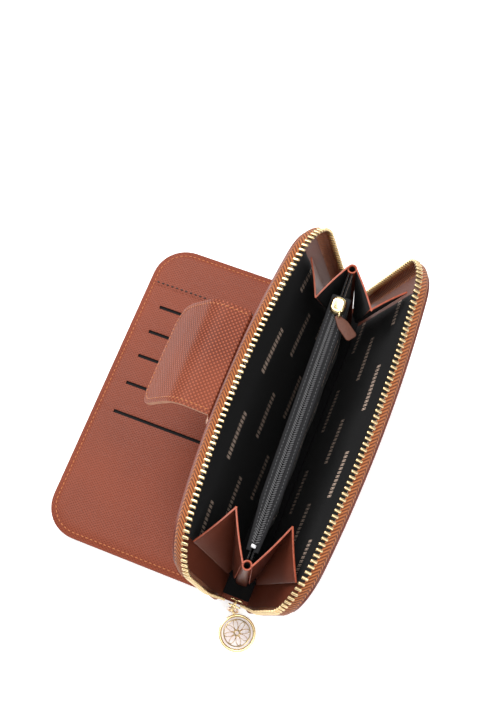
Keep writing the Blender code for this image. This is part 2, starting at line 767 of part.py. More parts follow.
def build_flap(pivot: Pivot, looks: dict) -> None:
    """The flap's leather, board, pocket fabric, slotted card panel, top strip and magnet."""
    shift = Matrix.Translation(-pivot.matrix.translation)

    def place(name: str, body: bmesh.types.BMesh, look):
        bmesh.ops.transform(body, matrix=shift, verts=body.verts)
        return add_object(name, body, look, pivot)

    def cut(target, name: str, body: bmesh.types.BMesh) -> None:
        bmesh.ops.transform(body, matrix=shift, verts=body.verts)
        combine(target, cutter(name, body, looks["steel"], pivot), "DIFFERENCE")

    place("flap_leather", slab(flap_outline(0.0), 0.0, FLAP_LEATHER_TOP), looks["leather"])
    inner = flap_outline(FLAP_BOARD_INSET, root=FLAP_ROOT_INSET)
    board_top = FLAP_BOARD_LOW + BOARD
    board = place("flap_board", slab(inner, FLAP_BOARD_LOW, board_top), looks["cardboard"])
    fabric = slab(inner, FLAP_FABRIC_LOW, FLAP_FABRIC_LOW + SHEET_GAP)
    place("flap_pocket_fabric", fabric, looks["lining"])
    panel_slab = slab(flap_outline(0.0, high_y=CARD_SEAM_Y - SHEET_GAP), CARD_PANEL_LOW, CARD_PANEL_TOP)
    panel = place("card_panel", panel_slab, looks["leather"])
    strip = slab(flap_outline(0.0, low_y=CARD_SEAM_Y), CARD_PANEL_LOW, CARD_PANEL_TOP)
    place("flap_top_strip", strip, looks["leather"])
    centre = (FLAP_MAGNET_X, TAB_CENTRE_Y)
    magnet = drum(MAGNET_RADIUS, FLAP_BOARD_LOW + MAGNET_FIT, board_top - MAGNET_FIT, centre, 24)
    place("flap_magnet", magnet, looks["steel"])
    cut(board, "flap_board_hole", drum(MAGNET_RADIUS + SHEET_GAP, -LEATHER, 2 * CARD_PANEL_TOP, centre, 24))
    middle_x = -(FLAP_HINGE_X + FLAP_REACH) + CARD_SLOT_START + CARD_SLOT_LENGTH / 2
    middle_z = (CARD_PANEL_LOW + CARD_PANEL_TOP) / 2
    for index, slot_y in enumerate(CARD_SLOTS_Y):
        slot = block((middle_x, slot_y, middle_z), (CARD_SLOT_LENGTH, CARD_SLOT_WIDTH, 4 * LEATHER))
        cut(panel, f"card_slot_cut_{index + 1}", slot)


# ---------------------------------------------------------------- strap tab


def tab_frame(origin: Vector, fall: float) -> Matrix:
    """A frame for a stretch of the tab: X along it, away from the cover, and Z out of its face."""
    along = Vector((-math.cos(fall), 0, -math.sin(fall)))
    outward = Vector((-math.sin(fall), 0, math.cos(fall)))
    turn = Matrix((along, outward.cross(along), outward)).transposed().to_4x4()
    return Matrix.Translation(origin) @ turn


def build_tab(left: Pivot, looks: dict) -> None:
    """The tab's sewn anchor, its root over the rim, and its tip with a magnet inside."""
    low, high = TAB_CENTRE_Y - TAB_WIDTH / 2, TAB_CENTRE_Y + TAB_WIDTH / 2
    columns = [low + TAB_WIDTH * step / 6 for step in range(7)]
    top = TAB_HINGE_HEIGHT - TAB_ANCHOR_DROP
    face = -SHEET_GAP
    anchor = skinned(
        [
            [
                on_cover(LEFT, along, top - TAB_ANCHOR_LENGTH, face),
                on_cover(LEFT, along, top, face),
                on_cover(LEFT, along, top, face - LEATHER),
                on_cover(LEFT, along, top - TAB_ANCHOR_LENGTH, face - LEATHER),
            ]
            for along in columns
        ]
    )
    add_object("tab_anchor", anchor, looks["tab"], left)
    rim = left.matrix @ on_cover(LEFT, TAB_CENTRE_Y, TAB_HINGE_HEIGHT, face - LEATHER / 2)
    half = TAB_WIDTH / 2
    root = Pivot("tab_root_pivot", tab_frame(rim, -TAB_ROOT_RISE), left)
    ridge = root.matrix @ Vector((TAB_ROOT_LENGTH, 0, 0))
    tip = Pivot("tab_tip_pivot", tab_frame(ridge, TAB_TIP_FALL), root)
    stretch = rounded_outline(TAB_ROOT_START, TAB_ROOT_LENGTH - TAB_RIDGE_GAP, -half, half, 0.0, ())
    add_object("tab_root_lining", slab(stretch, 0.0, TAB_LINING), looks["leather"], root)
    add_object("tab_root_leather", slab(stretch, TAB_LINING + SHEET_GAP, TAB_LAYERS), looks["tab"], root)
    shape = rounded_outline(TAB_RIDGE_GAP, TAB_TIP_LENGTH, -half, half, TAB_CORNER, ("++", "+-"))
    lining = add_object("tab_tip_lining", slab(shape, 0.0, TAB_LINING), looks["leather"], tip)
    add_object("tab_tip_leather", slab(shape, TAB_LINING + SHEET_GAP, TAB_LAYERS), looks["tab"], tip)
    centre = (TAB_TIP_LENGTH - MAGNET_FROM_TIP, 0.0)
    floor = TAB_LINING - MAGNET_THICKNESS
    magnet = drum(MAGNET_RADIUS, floor + MAGNET_FIT, TAB_LINING - MAGNET_FIT, centre, 24)
    add_object("tab_magnet", magnet, looks["steel"], tip)
    recess = drum(MAGNET_RADIUS + SHEET_GAP, floor - MAGNET_FIT, 2 * TAB_LINING, centre, 24)
    combine(lining, cutter("tab_magnet_recess", recess, looks["steel"], tip), "DIFFERENCE")


# ---------------------------------------------------------------- main slider, link and charm


def frame_at(origin: Vector, first: Vector, third: Vector) -> Matrix:
    """A frame with X along the first direction and Z as near the third as it can be."""
    x = first.normalized()
    y = third.cross(x).normalized()
    turn = Matrix((x, y, x.cross(y))).transposed().to_4x4()
    return Matrix.Translation(origin) @ turn


def upright_ring(radius: float, wire: float, centre: tuple, steps: int = 18) -> bmesh.types.BMesh:
    """A wire ring in the YZ plane."""
    ring = turned(round_profile(radius, wire, 6), steps)
    place = Matrix.Translation(centre) @ Matrix.Rotation(math.radians(90), 4, "Y")
    bmesh.ops.transform(ring, matrix=place, verts=ring.verts)
    return ring


def slider_outline() -> list:
    """The slider's section: a front and a back plate, joined by a neck between the two rows."""
    channel = TOOTH_THICKNESS / 2 + SLIDER_CLEARANCE
    outer = channel + SLIDER_PLATE
    half, neck = SLIDER_WIDTH / 2, SLIDER_NECK / 2
    right = [(half, -outer), (half, -channel), (neck, -channel)]
    right += [(x, -y) for x, y in reversed(right)]
    return right + [(-x, -y) for x, y in right]


def build_main_slider(right: Pivot, looks: dict) -> None:
    """The slider of the zip, at the spine's near end, with its link and its round charm."""
    direction = Vector((0, -ZIP_TUCK / ZIP_TUCK_HEIGHT, 1))
    along = -LENGTH / 2 - TEETH_OUTSIDE + zip_tuck(SLIDER_REST)
    inward = TEETH_HEAD + SLIDER_CLEARANCE + SLIDER_NECK / 2
    centre = right.matrix @ Vector((RIGHT.inward * (inward - HINGE_DEPTH), along, SLIDER_REST))
    turn = right.matrix.to_3x3()
    slider = Pivot("zip_slider_pivot", frame_at(centre, turn @ Vector((1, 0, 0)), turn @ direction), right)
    body = slab(slider_outline(), -SLIDER_HEIGHT / 2, SLIDER_HEIGHT / 2)
    body = add_object("zip_slider_body", body, looks["gold"], slider)
    soften(body, SLIDER_ROUNDING, 1)
    face = -(TOOTH_THICKNESS / 2 + SLIDER_CLEARANCE + SLIDER_PLATE)
    crown = upright_ring(BAIL_RADIUS, BAIL_WIRE, (0, face, -BAIL_DROP))
    combine(body, cutter("slider_crown", crown, looks["gold"], slider), "UNION")
    build_charm(slider, slider.matrix @ Vector((0, face - LINK_WIRE - BAIL_GAP, -BAIL_DROP)), looks)


def build_charm(slider: Pivot, hold: Vector, looks: dict) -> None:
    """The charm, laid flat on the table, and the link that joins it to the slider's crown."""
    up = Vector((0, 0, 1))
    centre = Vector((*CHARM_CENTRE, 0))
    towards = Vector((hold.x - centre.x, hold.y - centre.y, 0)).normalized()
    across = towards.cross(up)
    lug_height = LUG_RADIUS + LUG_WIRE + SHEET_GAP / 2
    lug = centre + towards * (CHARM_RADIUS + LUG_OUT) + up * lug_height
    upright = hold - lug
    level = slider.matrix.col[0].to_3d()
    level -= level.project(upright)
    link = Pivot("pull_link_pivot", frame_at(hold, level, upright), slider)
    ring = turned(round_profile(upright.length / 2, LINK_WIRE, 8), 28)
    place = Matrix.Translation((0, 0, -upright.length / 2)) @ Matrix.Rotation(math.radians(90), 4, "X")
    bmesh.ops.transform(ring, matrix=place, verts=ring.verts)
    add_object("pull_link", ring, looks["gold"], link)
    charm = Pivot("charm_pivot", frame_at(lug, across, up), link)
    offset = Vector((0, -(CHARM_RADIUS + LUG_OUT), -lug_height))
    rim = CHARM_RADIUS - CHARM_RIM
    profile = [(rim, CHARM_LIP), (rim + CHARM_LIP, 0.0)]
    profile += [(CHARM_RADIUS - CHARM_LIP, 0.0), (CHARM_RADIUS, CHARM_LIP)]
    profile += [(radius, CHARM_THICKNESS - height) for radius, height in reversed(profile)]
    band = turned(profile, 40)
    bmesh.ops.translate(band, verts=band.verts, vec=offset)
    band = add_object("charm_ring", band, looks["gold"], charm)
    lug_body = upright_ring(LUG_RADIUS, LUG_WIRE, (0, 0, 0), 16)
    combine(band, cutter("charm_lug", lug_body, looks["gold"], charm), "UNION")
    low = (CHARM_THICKNESS - CHARM_FACE_THICKNESS) / 2
    face = drum(rim - SHEET_GAP, low, low + CHARM_FACE_THICKNESS, segments=40)
    bmesh.ops.translate(face, verts=face.verts, vec=offset)
    add_object("charm_face", face, looks["pale metal"], charm)


# ---------------------------------------------------------------- coin zip slider


def pull_outline() -> list:
    """The coin pull in plan: a narrow root round its hole, wider towards its blunt tip."""
    half = COIN_PULL_WIDTH / 2
    reach = COIN_PULL_LENGTH - COIN_PULL_ROOT
    tip = rounded_outline(0.0, reach, -half, half, COIN_PULL_CORNER, ("++", "+-"), 3)
    edge = [point for point in tip if point[0] > 0.0]
    cut = next(index for index, point in enumerate(edge) if point[1] < 0)
    lower = [(x, -y) for x, y in reversed(COIN_PULL_NECK)]
    return edge[cut:] + edge[:cut] + list(COIN_PULL_NECK) + lower


def build_coin_slider(root: Pivot, looks: dict) -> None:
    """The coin zip's domed slider at the far end of the band, with its leather pull."""
    up = Vector((0, 0, 1))
    along = COIN_ZIP_FAR - COIN_SLIDER_LENGTH / 2 - COIN_SLIDER_REST
    low = BAND_TOP + SHEET_GAP + COIL_THICKNESS + SHEET_GAP
    across = Vector((1, DIVIDER_SKEW, 0))
    slider = Pivot("coin_slider_pivot", frame_at(Vector((divider_x(along, BAND_TOP), along, low)), across, up), root)
    dome = block((0, 0, COIN_SLIDER_HEIGHT / 2), (COIN_SLIDER_WIDTH, COIN_SLIDER_LENGTH, COIN_SLIDER_HEIGHT))
    dome = add_object("coin_slider_body", dome, looks["gold"], slider)
    soften(dome, COIN_SLIDER_ROUNDING, 3)
    hoop = (COIN_HOOP_X, -COIN_SLIDER_LENGTH / 2, COIN_SLIDER_HEIGHT / 2)
    loop = upright_ring(COIN_HOOP, BAIL_WIRE, hoop)
    combine(dome, cutter("coin_slider_hoop", loop, looks["gold"], slider), "UNION")
    hinge = slider.matrix @ Vector((hoop[0], hoop[1] - COIN_HOOP, hoop[2]))
    pull = Pivot("coin_pull_pivot", frame_at(hinge, Vector((*COIN_PULL_HEADING, 0)), up), slider)
    strap = add_object("coin_pull", slab(pull_outline(), -LEATHER / 2, LEATHER / 2), looks["tab"], pull)
    hole = drum(COIN_PULL_HOLE, -LEATHER, LEATHER, segments=16)
    combine(strap, cutter("coin_pull_hole", hole, looks["gold"], pull), "DIFFERENCE")


def main() -> None:
    """Build the whole wallet."""
    clear_scene()
    looks = {
        "leather": material("leather", BROWN, 0.55),
        "gusset": material("gusset_leather", PAINTED_EDGE, 0.50),
        "tab": material("tab_leather", BROWN, 0.50),
        "tape": material("zip_tape", CARAMEL, 0.80),
        "lining": material("lining", BLACK, 0.85),
        "black tape": material("coin_tape", BLACK, 0.75),
        "cardboard": material("cardboard", CARDBOARD, 0.90),
        "gold": material("gold", GOLD, 0.22, 1.0),
        "pale metal": material("pale_metal", PALE_METAL, 0.25, 1.0),
        "steel": material("steel", STEEL, 0.35, 1.0),
    }
    root = Pivot("wallet", Matrix.Identity(4))
    build_spine(root, looks)
    covers = {}
    for side in (LEFT, RIGHT):
        covers[side.name] = cover_pivot(side)
        build_cover(side, covers[side.name], looks)
    build_gussets(root, covers, looks)
    hinge = Matrix.Translation((-FLAP_HINGE_X, 0, FLAP_HINGE_Z))
    build_flap(Pivot("flap_pivot", hinge, covers["left"]), looks)
    build_tab(covers["left"], looks)
    build_main_slider(covers["right"], looks)
    build_coin_slider(root, looks)


main()
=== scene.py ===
"""A zip around wallet standing open on its spine, dressed in leather, brass and black fabric.

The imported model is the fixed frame. Every class below makes one sub-assembly of the wallet on
top of it: the covers with their zip, the spine, the coin pocket, the folded gussets, the card
flap, the strap tab, the main slider with its charm and the coin slider with its leather pull.
Metres, +Z up, +Y along the spine, -X towards the flap.
"""

import json
import logging
import math
from dataclasses import dataclass
from enum import Enum
from typing import Callable, Optional, Sequence

import bmesh
import bpy
from mathutils import Matrix, Vector


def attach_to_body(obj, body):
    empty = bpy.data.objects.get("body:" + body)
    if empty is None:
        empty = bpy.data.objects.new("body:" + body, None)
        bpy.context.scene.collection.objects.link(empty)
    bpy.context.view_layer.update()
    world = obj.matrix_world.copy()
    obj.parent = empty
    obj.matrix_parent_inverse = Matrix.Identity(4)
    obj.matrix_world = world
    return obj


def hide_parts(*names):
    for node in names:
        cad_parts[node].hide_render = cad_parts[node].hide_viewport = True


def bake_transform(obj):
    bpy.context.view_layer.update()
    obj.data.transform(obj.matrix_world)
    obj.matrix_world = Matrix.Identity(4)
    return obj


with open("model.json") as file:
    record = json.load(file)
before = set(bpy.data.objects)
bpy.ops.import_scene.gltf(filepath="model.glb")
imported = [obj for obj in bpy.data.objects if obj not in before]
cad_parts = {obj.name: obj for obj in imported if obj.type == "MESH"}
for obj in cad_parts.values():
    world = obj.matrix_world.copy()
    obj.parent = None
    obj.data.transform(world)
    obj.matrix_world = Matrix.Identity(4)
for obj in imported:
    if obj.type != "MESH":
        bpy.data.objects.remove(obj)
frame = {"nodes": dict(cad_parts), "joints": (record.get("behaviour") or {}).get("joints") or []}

LOG = logging.getLogger("wallet")
MM = 0.001
UP = Vector((0.0, 0.0, 1.0))
QUARTER_X = Matrix.Rotation(math.radians(90), 4, "X")
QUARTER_Y = Matrix.Rotation(math.radians(90), 4, "Y")

Colour = tuple[float, float, float]
Place = Callable[[float, float], Vector]
Body = bmesh.types.BMesh
Made = bpy.types.Object
Look = bpy.types.Material


# ---------------------------------------------------------------- shader sums


class Value:
    """A shader socket that can be used in ordinary Python sums."""

    def __init__(self, graph: "Graph", socket: bpy.types.NodeSocket) -> None:
        """Keep the socket and the graph that it is in."""
        self.graph = graph
        self.socket = socket

    def math(self, operation: str, *others: "Value | float") -> "Value":
        """Put this value through a Math node with others."""
        inputs = dict(enumerate((self, *others)))
        return self.graph.node("ShaderNodeMath", {"operation": operation}, inputs)

    def flipped(self, operation: str, other: float) -> "Value":
        """A Math node whose first input is a plain number and whose second is this value."""
        return self.graph.node("ShaderNodeMath", {"operation": operation}, {0: other, 1: self})

    def __add__(self, other: "Value | float") -> "Value":
        """Sum."""
        return self.math("ADD", other)

    def __radd__(self, other: float) -> "Value":
        """Sum, with the number first."""
        return self.flipped("ADD", other)

    def __sub__(self, other: "Value | float") -> "Value":
        """Difference."""
        return self.math("SUBTRACT", other)

    def __rsub__(self, other: float) -> "Value":
        """Difference, with the number first."""
        return self.flipped("SUBTRACT", other)

    def __mul__(self, other: "Value | float") -> "Value":
        """Product."""
        return self.math("MULTIPLY", other)

    def __rmul__(self, other: float) -> "Value":
        """Product, with the number first."""
        return self.flipped("MULTIPLY", other)

    def __truediv__(self, other: "Value | float") -> "Value":
        """Quotient."""
        return self.math("DIVIDE", other)

    def step(self, low: float, high: float) -> "Value":
        """0 below the low value, 1 above the high one, and smooth between."""
        settings = {"interpolation_type": "SMOOTHSTEP"}
        inputs = {"Value": self, "From Min": low, "From Max": high}
        return self.graph.node("ShaderNodeMapRange", settings, inputs)

    def wave(self, period: float) -> "Value":
        """A smooth wave from 0 to 1 with that period in the value's own unit."""
        return (self * (math.tau / period)).math("SINE") * 0.5 + 0.5

    def triangle(self, period: float) -> "Value":
        """A zigzag from 0 to 1 and back with that period."""
        return self.math("PINGPONG", period / 2) * (2 / period)


class Graph:
    """One material's node tree, with a Principled shader at its end."""

    def __init__(self, name: str, **constants: float) -> None:
        """Start a material.

        Args:
            name: the material's name.
            constants: values set directly on the shader's sockets, with _ for a space.
        """
        self.material = bpy.data.materials.new(name)
        self.material.use_nodes = True
        self.tree = self.material.node_tree
        self.shader = self.tree.nodes["Principled BSDF"]
        for key, value in constants.items():
            self.shader.inputs[key.replace("_", " ")].default_value = value

    def node(
        self, kind: str, settings: Optional[dict] = None, inputs: Optional[dict] = None, out: int | str = 0
    ) -> Value:
        """Make any node.

        Args:
            kind: the node's type.
            settings: its properties, set first. A ramp's stops are given as "stops".
            inputs: values or links by socket name or number.
            out: which output is wanted.

        Returns:
            The output as a value.
        """
        made = self.tree.nodes.new(kind)
        for key, value in (settings or {}).items():
            if key == "stops":
                ramp = made.color_ramp
                while len(ramp.elements) < len(value):
                    ramp.elements.new(0.5)
                for element, (place, colour) in zip(ramp.elements, value):
                    element.position = place
                    element.color = (*colour, 1.0)
            else:
                setattr(made, key, value)
        for key, value in (inputs or {}).items():
            self.feed(made.inputs[key], value)
        return Value(self, made.outputs[out])

    def feed(self, socket: bpy.types.NodeSocket, value: "Value | float | Sequence[float]") -> None:
        """Set or link one input socket.

        Args:
            socket: the input.
            value: what it takes.
        """
        if isinstance(value, Value):
            self.tree.links.new(value.socket, socket)
        elif isinstance(value, (int, float)) and hasattr(socket.default_value, "__len__"):
            socket.default_value = [value] * len(socket.default_value)
        elif hasattr(value, "__len__") and len(value) == 3 and len(socket.default_value) == 4:
            socket.default_value = (*value, 1.0)
        else:
            socket.default_value = value

    def place(self) -> Value:
        """The object's own coordinates, in millimetres."""
        raw = self.node("ShaderNodeTexCoord", out="Object")
        return self.node("ShaderNodeVectorMath", {"operation": "SCALE"}, {0: raw, "Scale": 1 / MM})

    def cloth(self) -> Value:
        """The piece's own map in millimetres: along it, and across it."""
        raw = self.node("ShaderNodeUVMap", {"uv_map": "UVMap"})
        return self.node("ShaderNodeVectorMath", {"operation": "SCALE"}, {0: raw, "Scale": 1 / MM})

    def split(self, vector: Value) -> tuple[Value, Value, Value]:
        """A vector's three parts."""
        made = self.node("ShaderNodeSeparateXYZ", inputs={0: vector})
        outputs = made.socket.node.outputs
        return (made, Value(self, outputs[1]), Value(self, outputs[2]))

    def noise(self, vector: Value, scale: float, detail: float = 3.0, rough: float = 0.5) -> Value:
        """Cloudy noise from 0 to 1 whose patches are about 1 / scale millimetres."""
        inputs = {"Vector": vector, "Scale": scale, "Detail": detail, "Roughness": rough}
        return self.node("ShaderNodeTexNoise", inputs=inputs)

    def mix(self, share: "Value | float", first: "Value | Colour", second: "Value | Colour") -> Value:
        """Mix two colours."""
        inputs = {"Factor": share, 6: first, 7: second}
        return self.node("ShaderNodeMix", {"data_type": "RGBA"}, inputs, out=2)

    def ramp(self, value: Value, *stops: tuple[float, Colour]) -> Value:
        """Colours along a value."""
        return self.node("ShaderNodeValToRGB", {"stops": stops}, {0: value})

    def bump(self, height: Value, depth: float, strength: float = 1.0) -> None:
        """Feed the shader's normal from a height whose full rise is depth millimetres."""
        inputs = {"Height": height, "Strength": strength, "Distance": depth * MM}
        self.feed(self.shader.inputs["Normal"], self.node("ShaderNodeBump", inputs=inputs, out="Normal"))

    def colour(self, value: "Value | Colour") -> None:
        """Feed the base colour."""
        self.feed(self.shader.inputs["Base Color"], value)

    def rough(self, value: "Value | float") -> None:
        """Feed the roughness."""
        self.feed(self.shader.inputs["Roughness"], value)


# ---------------------------------------------------------------- finishes


class Grain(Enum):
    """How a leather's surface is pressed."""

    CROSSHATCH = "crosshatch"
    SMOOTH = "smooth"
    WOVEN = "woven"


@dataclass(frozen=True)
class LeatherFinish:
    """Split leather with a pressed grain."""

    name: str
    colour: Colour
    shade: Colour
    grain: Grain = Grain.CROSSHATCH
    roughness: float = 0.50
    hatch_pitch: float = 1.25
    hatch_depth: float = 0.16
    emboss: float = 2.4

    def make(self) -> Look:
        """The leather as a material.

        Returns:
            The material.
        """
        graph = Graph(self.name, Specular_IOR_Level=0.20)
        cloth = graph.cloth()
        along, across, _ = graph.split(cloth)
        drift = graph.noise(cloth, 0.022, 2.0)
        pores = graph.noise(cloth, 1.7, 3.0, 0.6)
        if self.grain is Grain.CROSSHATCH:
            height = self.hatch(graph, cloth, along, across)
        elif self.grain is Grain.WOVEN:
            first = (along + across - self.emboss / 4).wave(self.emboss)
            second = (along - across - self.emboss / 4).wave(self.emboss)
            height = (first * second).step(0.10, 0.85) * 0.9 + graph.noise(cloth, 2.6, 4.0, 0.65) * 0.15
        else:
            height = graph.noise(cloth, 0.9, 5.0, 0.6)
        # Colour follows the height: on the pressed grains the grooves take painted shade and the raised tops
        # a painted highlight; drift, and the smooth grain's noise, are random tone.
        relief_shade_and_tone = height * 0.55 + drift * 0.45
        relief_shaded_colour = graph.ramp(relief_shade_and_tone, (0.22, self.shade), (0.66, self.colour))
        graph.colour(graph.mix(pores.step(0.60, 0.78) * 0.22, relief_shaded_colour, self.shade))
        graph.rough(self.roughness + (drift - 0.5) * 0.18 - height * 0.08)
        graph.bump(height * 0.8 + pores * 0.2, self.hatch_depth)
        return graph.material

    def hatch(self, graph: Graph, cloth: Value, along: Value, across: Value) -> Value:
        """Two sets of fine broken ridges that cross on the slant.

        Args:
            graph: the material's nodes.
            cloth: the piece's own map.
            along: the map along the piece.
            across: the map across the piece.

        Returns:
            The height, about 0 to 1.
        """
        wander = (graph.noise(cloth, 0.25, 2.0) - 0.5) * 1.6
        slant, level = math.sin(math.radians(38)), math.cos(math.radians(38))
        rising = (along * level + across * slant + wander).wave(self.hatch_pitch)
        falling = (along * level - across * slant + wander * 0.7).wave(self.hatch_pitch * 1.12)
        broken = graph.noise(cloth, 0.6, 3.0)
        return rising.math("MULTIPLY", broken * 0.9 + 0.35).math("MAXIMUM", falling * (1.25 - broken))


@dataclass(frozen=True)
class PaintFinish:
    """The coloured paint that seals a cut leather edge."""

    name: str
    colour: Colour
    shade: Colour

    def make(self) -> Look:
        """The paint as a material.

        Returns:
            The material.
        """
        graph = Graph(self.name, Specular_IOR_Level=0.5)
        place = graph.place()
        patches = graph.noise(place, 0.5, 4.0, 0.6)
        graph.colour(graph.ramp(patches, (0.3, self.shade), (0.62, self.colour)))
        graph.rough(0.32 + patches * 0.22)
        graph.bump(graph.noise(place, 1.4, 3.0), 0.08)
        return graph.material


@dataclass(frozen=True)
class HerringboneFinish:
    """Woven zip tape with chevrons along its length."""

    name: str
    light: Colour
    dark: Colour
    pitch: float = 2.1
    middle: float = 5.2
    slope: float = 1.05

    def make(self) -> Look:
        """The tape as a material.

        Returns:
            The material.
        """
        graph = Graph(self.name, Specular_IOR_Level=0.25, Sheen_Weight=0.2, Sheen_Roughness=0.4)
        cloth = graph.cloth()
        along, across, _ = graph.split(cloth)
        spread = (across - self.middle).math("ABSOLUTE")
        ribs = (along + spread * self.slope).wave(self.pitch)
        strand = ribs.step(0.22, 0.72)
        yarn = (along - spread * 1.6).wave(0.55)
        seam = 1 - spread.step(0.05, 0.32)
        fuzz = graph.noise(cloth, 1.1, 3.0)
        lit = graph.mix(yarn * 0.35, self.light, self.dark)
        woven = graph.mix(strand * 0.92, self.dark, lit)
        woven = graph.mix(seam * 0.55, woven, self.dark)
        graph.colour(graph.mix((fuzz - 0.4).step(0.0, 0.5) * 0.25, woven, self.dark))
        graph.rough(0.72 + fuzz * 0.14)
        graph.bump(strand * 0.7 + yarn * 0.3 - seam * 0.4, 0.32)
        return graph.material


@dataclass(frozen=True)
class LiningFinish:
    """Black lining fabric, with or without a sparse print of hatched lozenges."""

    name: str
    colour: Colour
    ink: Colour
    printed: bool = True
    run: float = 27.0
    row: float = 5.4
    step_along: float = 50.0
    step_up: float = 27.0

    def make(self) -> Look:
        """The lining as a material.

        Returns:
            The material.
        """
        graph = Graph(self.name, Specular_IOR_Level=0.22, Sheen_Weight=0.05, Sheen_Roughness=0.4)
        cloth = graph.cloth()
        along, up, _ = graph.split(cloth)
        weave = along.wave(0.7) * up.wave(0.7)
        wear = graph.noise(cloth, 0.05, 3.0)
        base = graph.mix(weave * 0.5 + wear * 0.3, self.colour, tuple(2.1 * part for part in self.colour))
        if self.printed:
            base = graph.mix(self.motif(along, up) * (0.80 + wear * 0.3), base, self.ink)
        graph.colour(base)
        graph.rough(0.74 + weave * 0.12)
        graph.bump(weave, 0.06)
        return graph.material

    def motif(self, along: Value, up: Value) -> Value:
        """1 where the print is: short rows of hatched lozenges, each row set off from the last.

        Args:
            along: the map along the piece.
            up: the map up it.

        Returns:
            The print as a mask.
        """
        row = (up / self.step_up).math("FLOOR")
        across = (up / self.step_up).math("FRACT") * self.step_up - self.step_up / 2
        moved = along + row * (self.step_along * 0.44)
        inside = (moved / self.step_along).math("FRACT") * self.step_along - self.step_along / 2
        marks = 6
        pitch = self.run / marks
        slant = (inside.triangle(pitch) - 0.5).math("ABSOLUTE") * pitch
        high = across.math("ABSOLUTE")
        block = 1 - high.step(self.row / 2 - 0.35, self.row / 2 - 0.15)
        hole = 1 - (slant * 1.5 + (high - self.row / 4).math("ABSOLUTE")).step(0.95, 1.20)
        gap = slant.step(pitch / 2 - 1.05, pitch / 2 - 0.85)
        kept = 1 - inside.math("ABSOLUTE").step(self.run / 2 - 0.3, self.run / 2)
        return block * (1 - hole) * (1 - gap) * kept


@dataclass(frozen=True)
class MetalFinish:
    """Plated metal with soft wear and tiny scratches."""

    name: str
    colour: Colour
    roughness: float = 0.2

    def make(self) -> Look:
        """The metal as a material.

        Returns:
            The material.
        """
        graph = Graph(self.name, Metallic=1.0)
        place = graph.place()
        wear = graph.noise(place, 0.35, 4.0, 0.6)
        fine = graph.noise(place, 3.0, 2.0)
        darker = tuple(part * 0.80 for part in self.colour)
        graph.colour(graph.mix(wear.step(0.35, 0.75) * 0.6, self.colour, darker))
        graph.rough(self.roughness + wear * 0.10 + fine * 0.05)
        graph.bump(fine, 0.015, 0.5)
        return graph.material


@dataclass(frozen=True)
class ThreadFinish:
    """Waxed thread with a twist along each stitch."""

    name: str
    colour: Colour

    def make(self) -> Look:
        """The thread as a material.

        Returns:
            The material.
        """
        graph = Graph(self.name, Sheen_Weight=0.15, Sheen_Roughness=0.4)
        x, y, z = graph.split(graph.place())
        twist = (x + y + z * 0.7).wave(0.42)
        darker = tuple(part * 0.55 for part in self.colour)
        graph.colour(graph.mix(twist * 0.6, self.colour, darker))
        graph.rough(0.5 + twist * 0.15)
        graph.bump(twist, 0.05)
        return graph.material


@dataclass(frozen=True)
class BoardFinish:
    """Pressed board or foil hidden between the leather and the lining."""

    name: str
    colour: Colour
    metallic: float = 0.0

    def make(self) -> Look:
        """The board as a material.

        Returns:
            The material.
        """
        graph = Graph(self.name, Metallic=self.metallic)
        fibres = graph.noise(graph.place(), 0.9, 5.0, 0.7)
        darker = tuple(part * 0.7 for part in self.colour)
        graph.colour(graph.mix(fibres, darker, self.colour))
        graph.rough(0.75 - self.metallic * 0.35 + fibres * 0.1)
        graph.bump(fibres, 0.05)
        return graph.material


@dataclass(frozen=True)
class PearlFinish:
    """The charm's pale pearly inlay."""

    name: str
    colour: Colour
    blush: Colour

    def make(self) -> Look:
        """The inlay as a material.

        Returns:
            The material.
        """
        graph = Graph(self.name, Coat_Roughness=0.08)
        cloud = graph.noise(graph.place(), 0.22, 3.0, 0.6)
        graph.colour(graph.ramp(cloud, (0.35, self.blush), (0.62, self.colour)))
        graph.feed(graph.shader.inputs["Coat Weight"], 0.5 + cloud * 0.2)
        graph.rough(0.28 + cloud * 0.1)
        graph.bump(cloud, 0.03)
        return graph.material


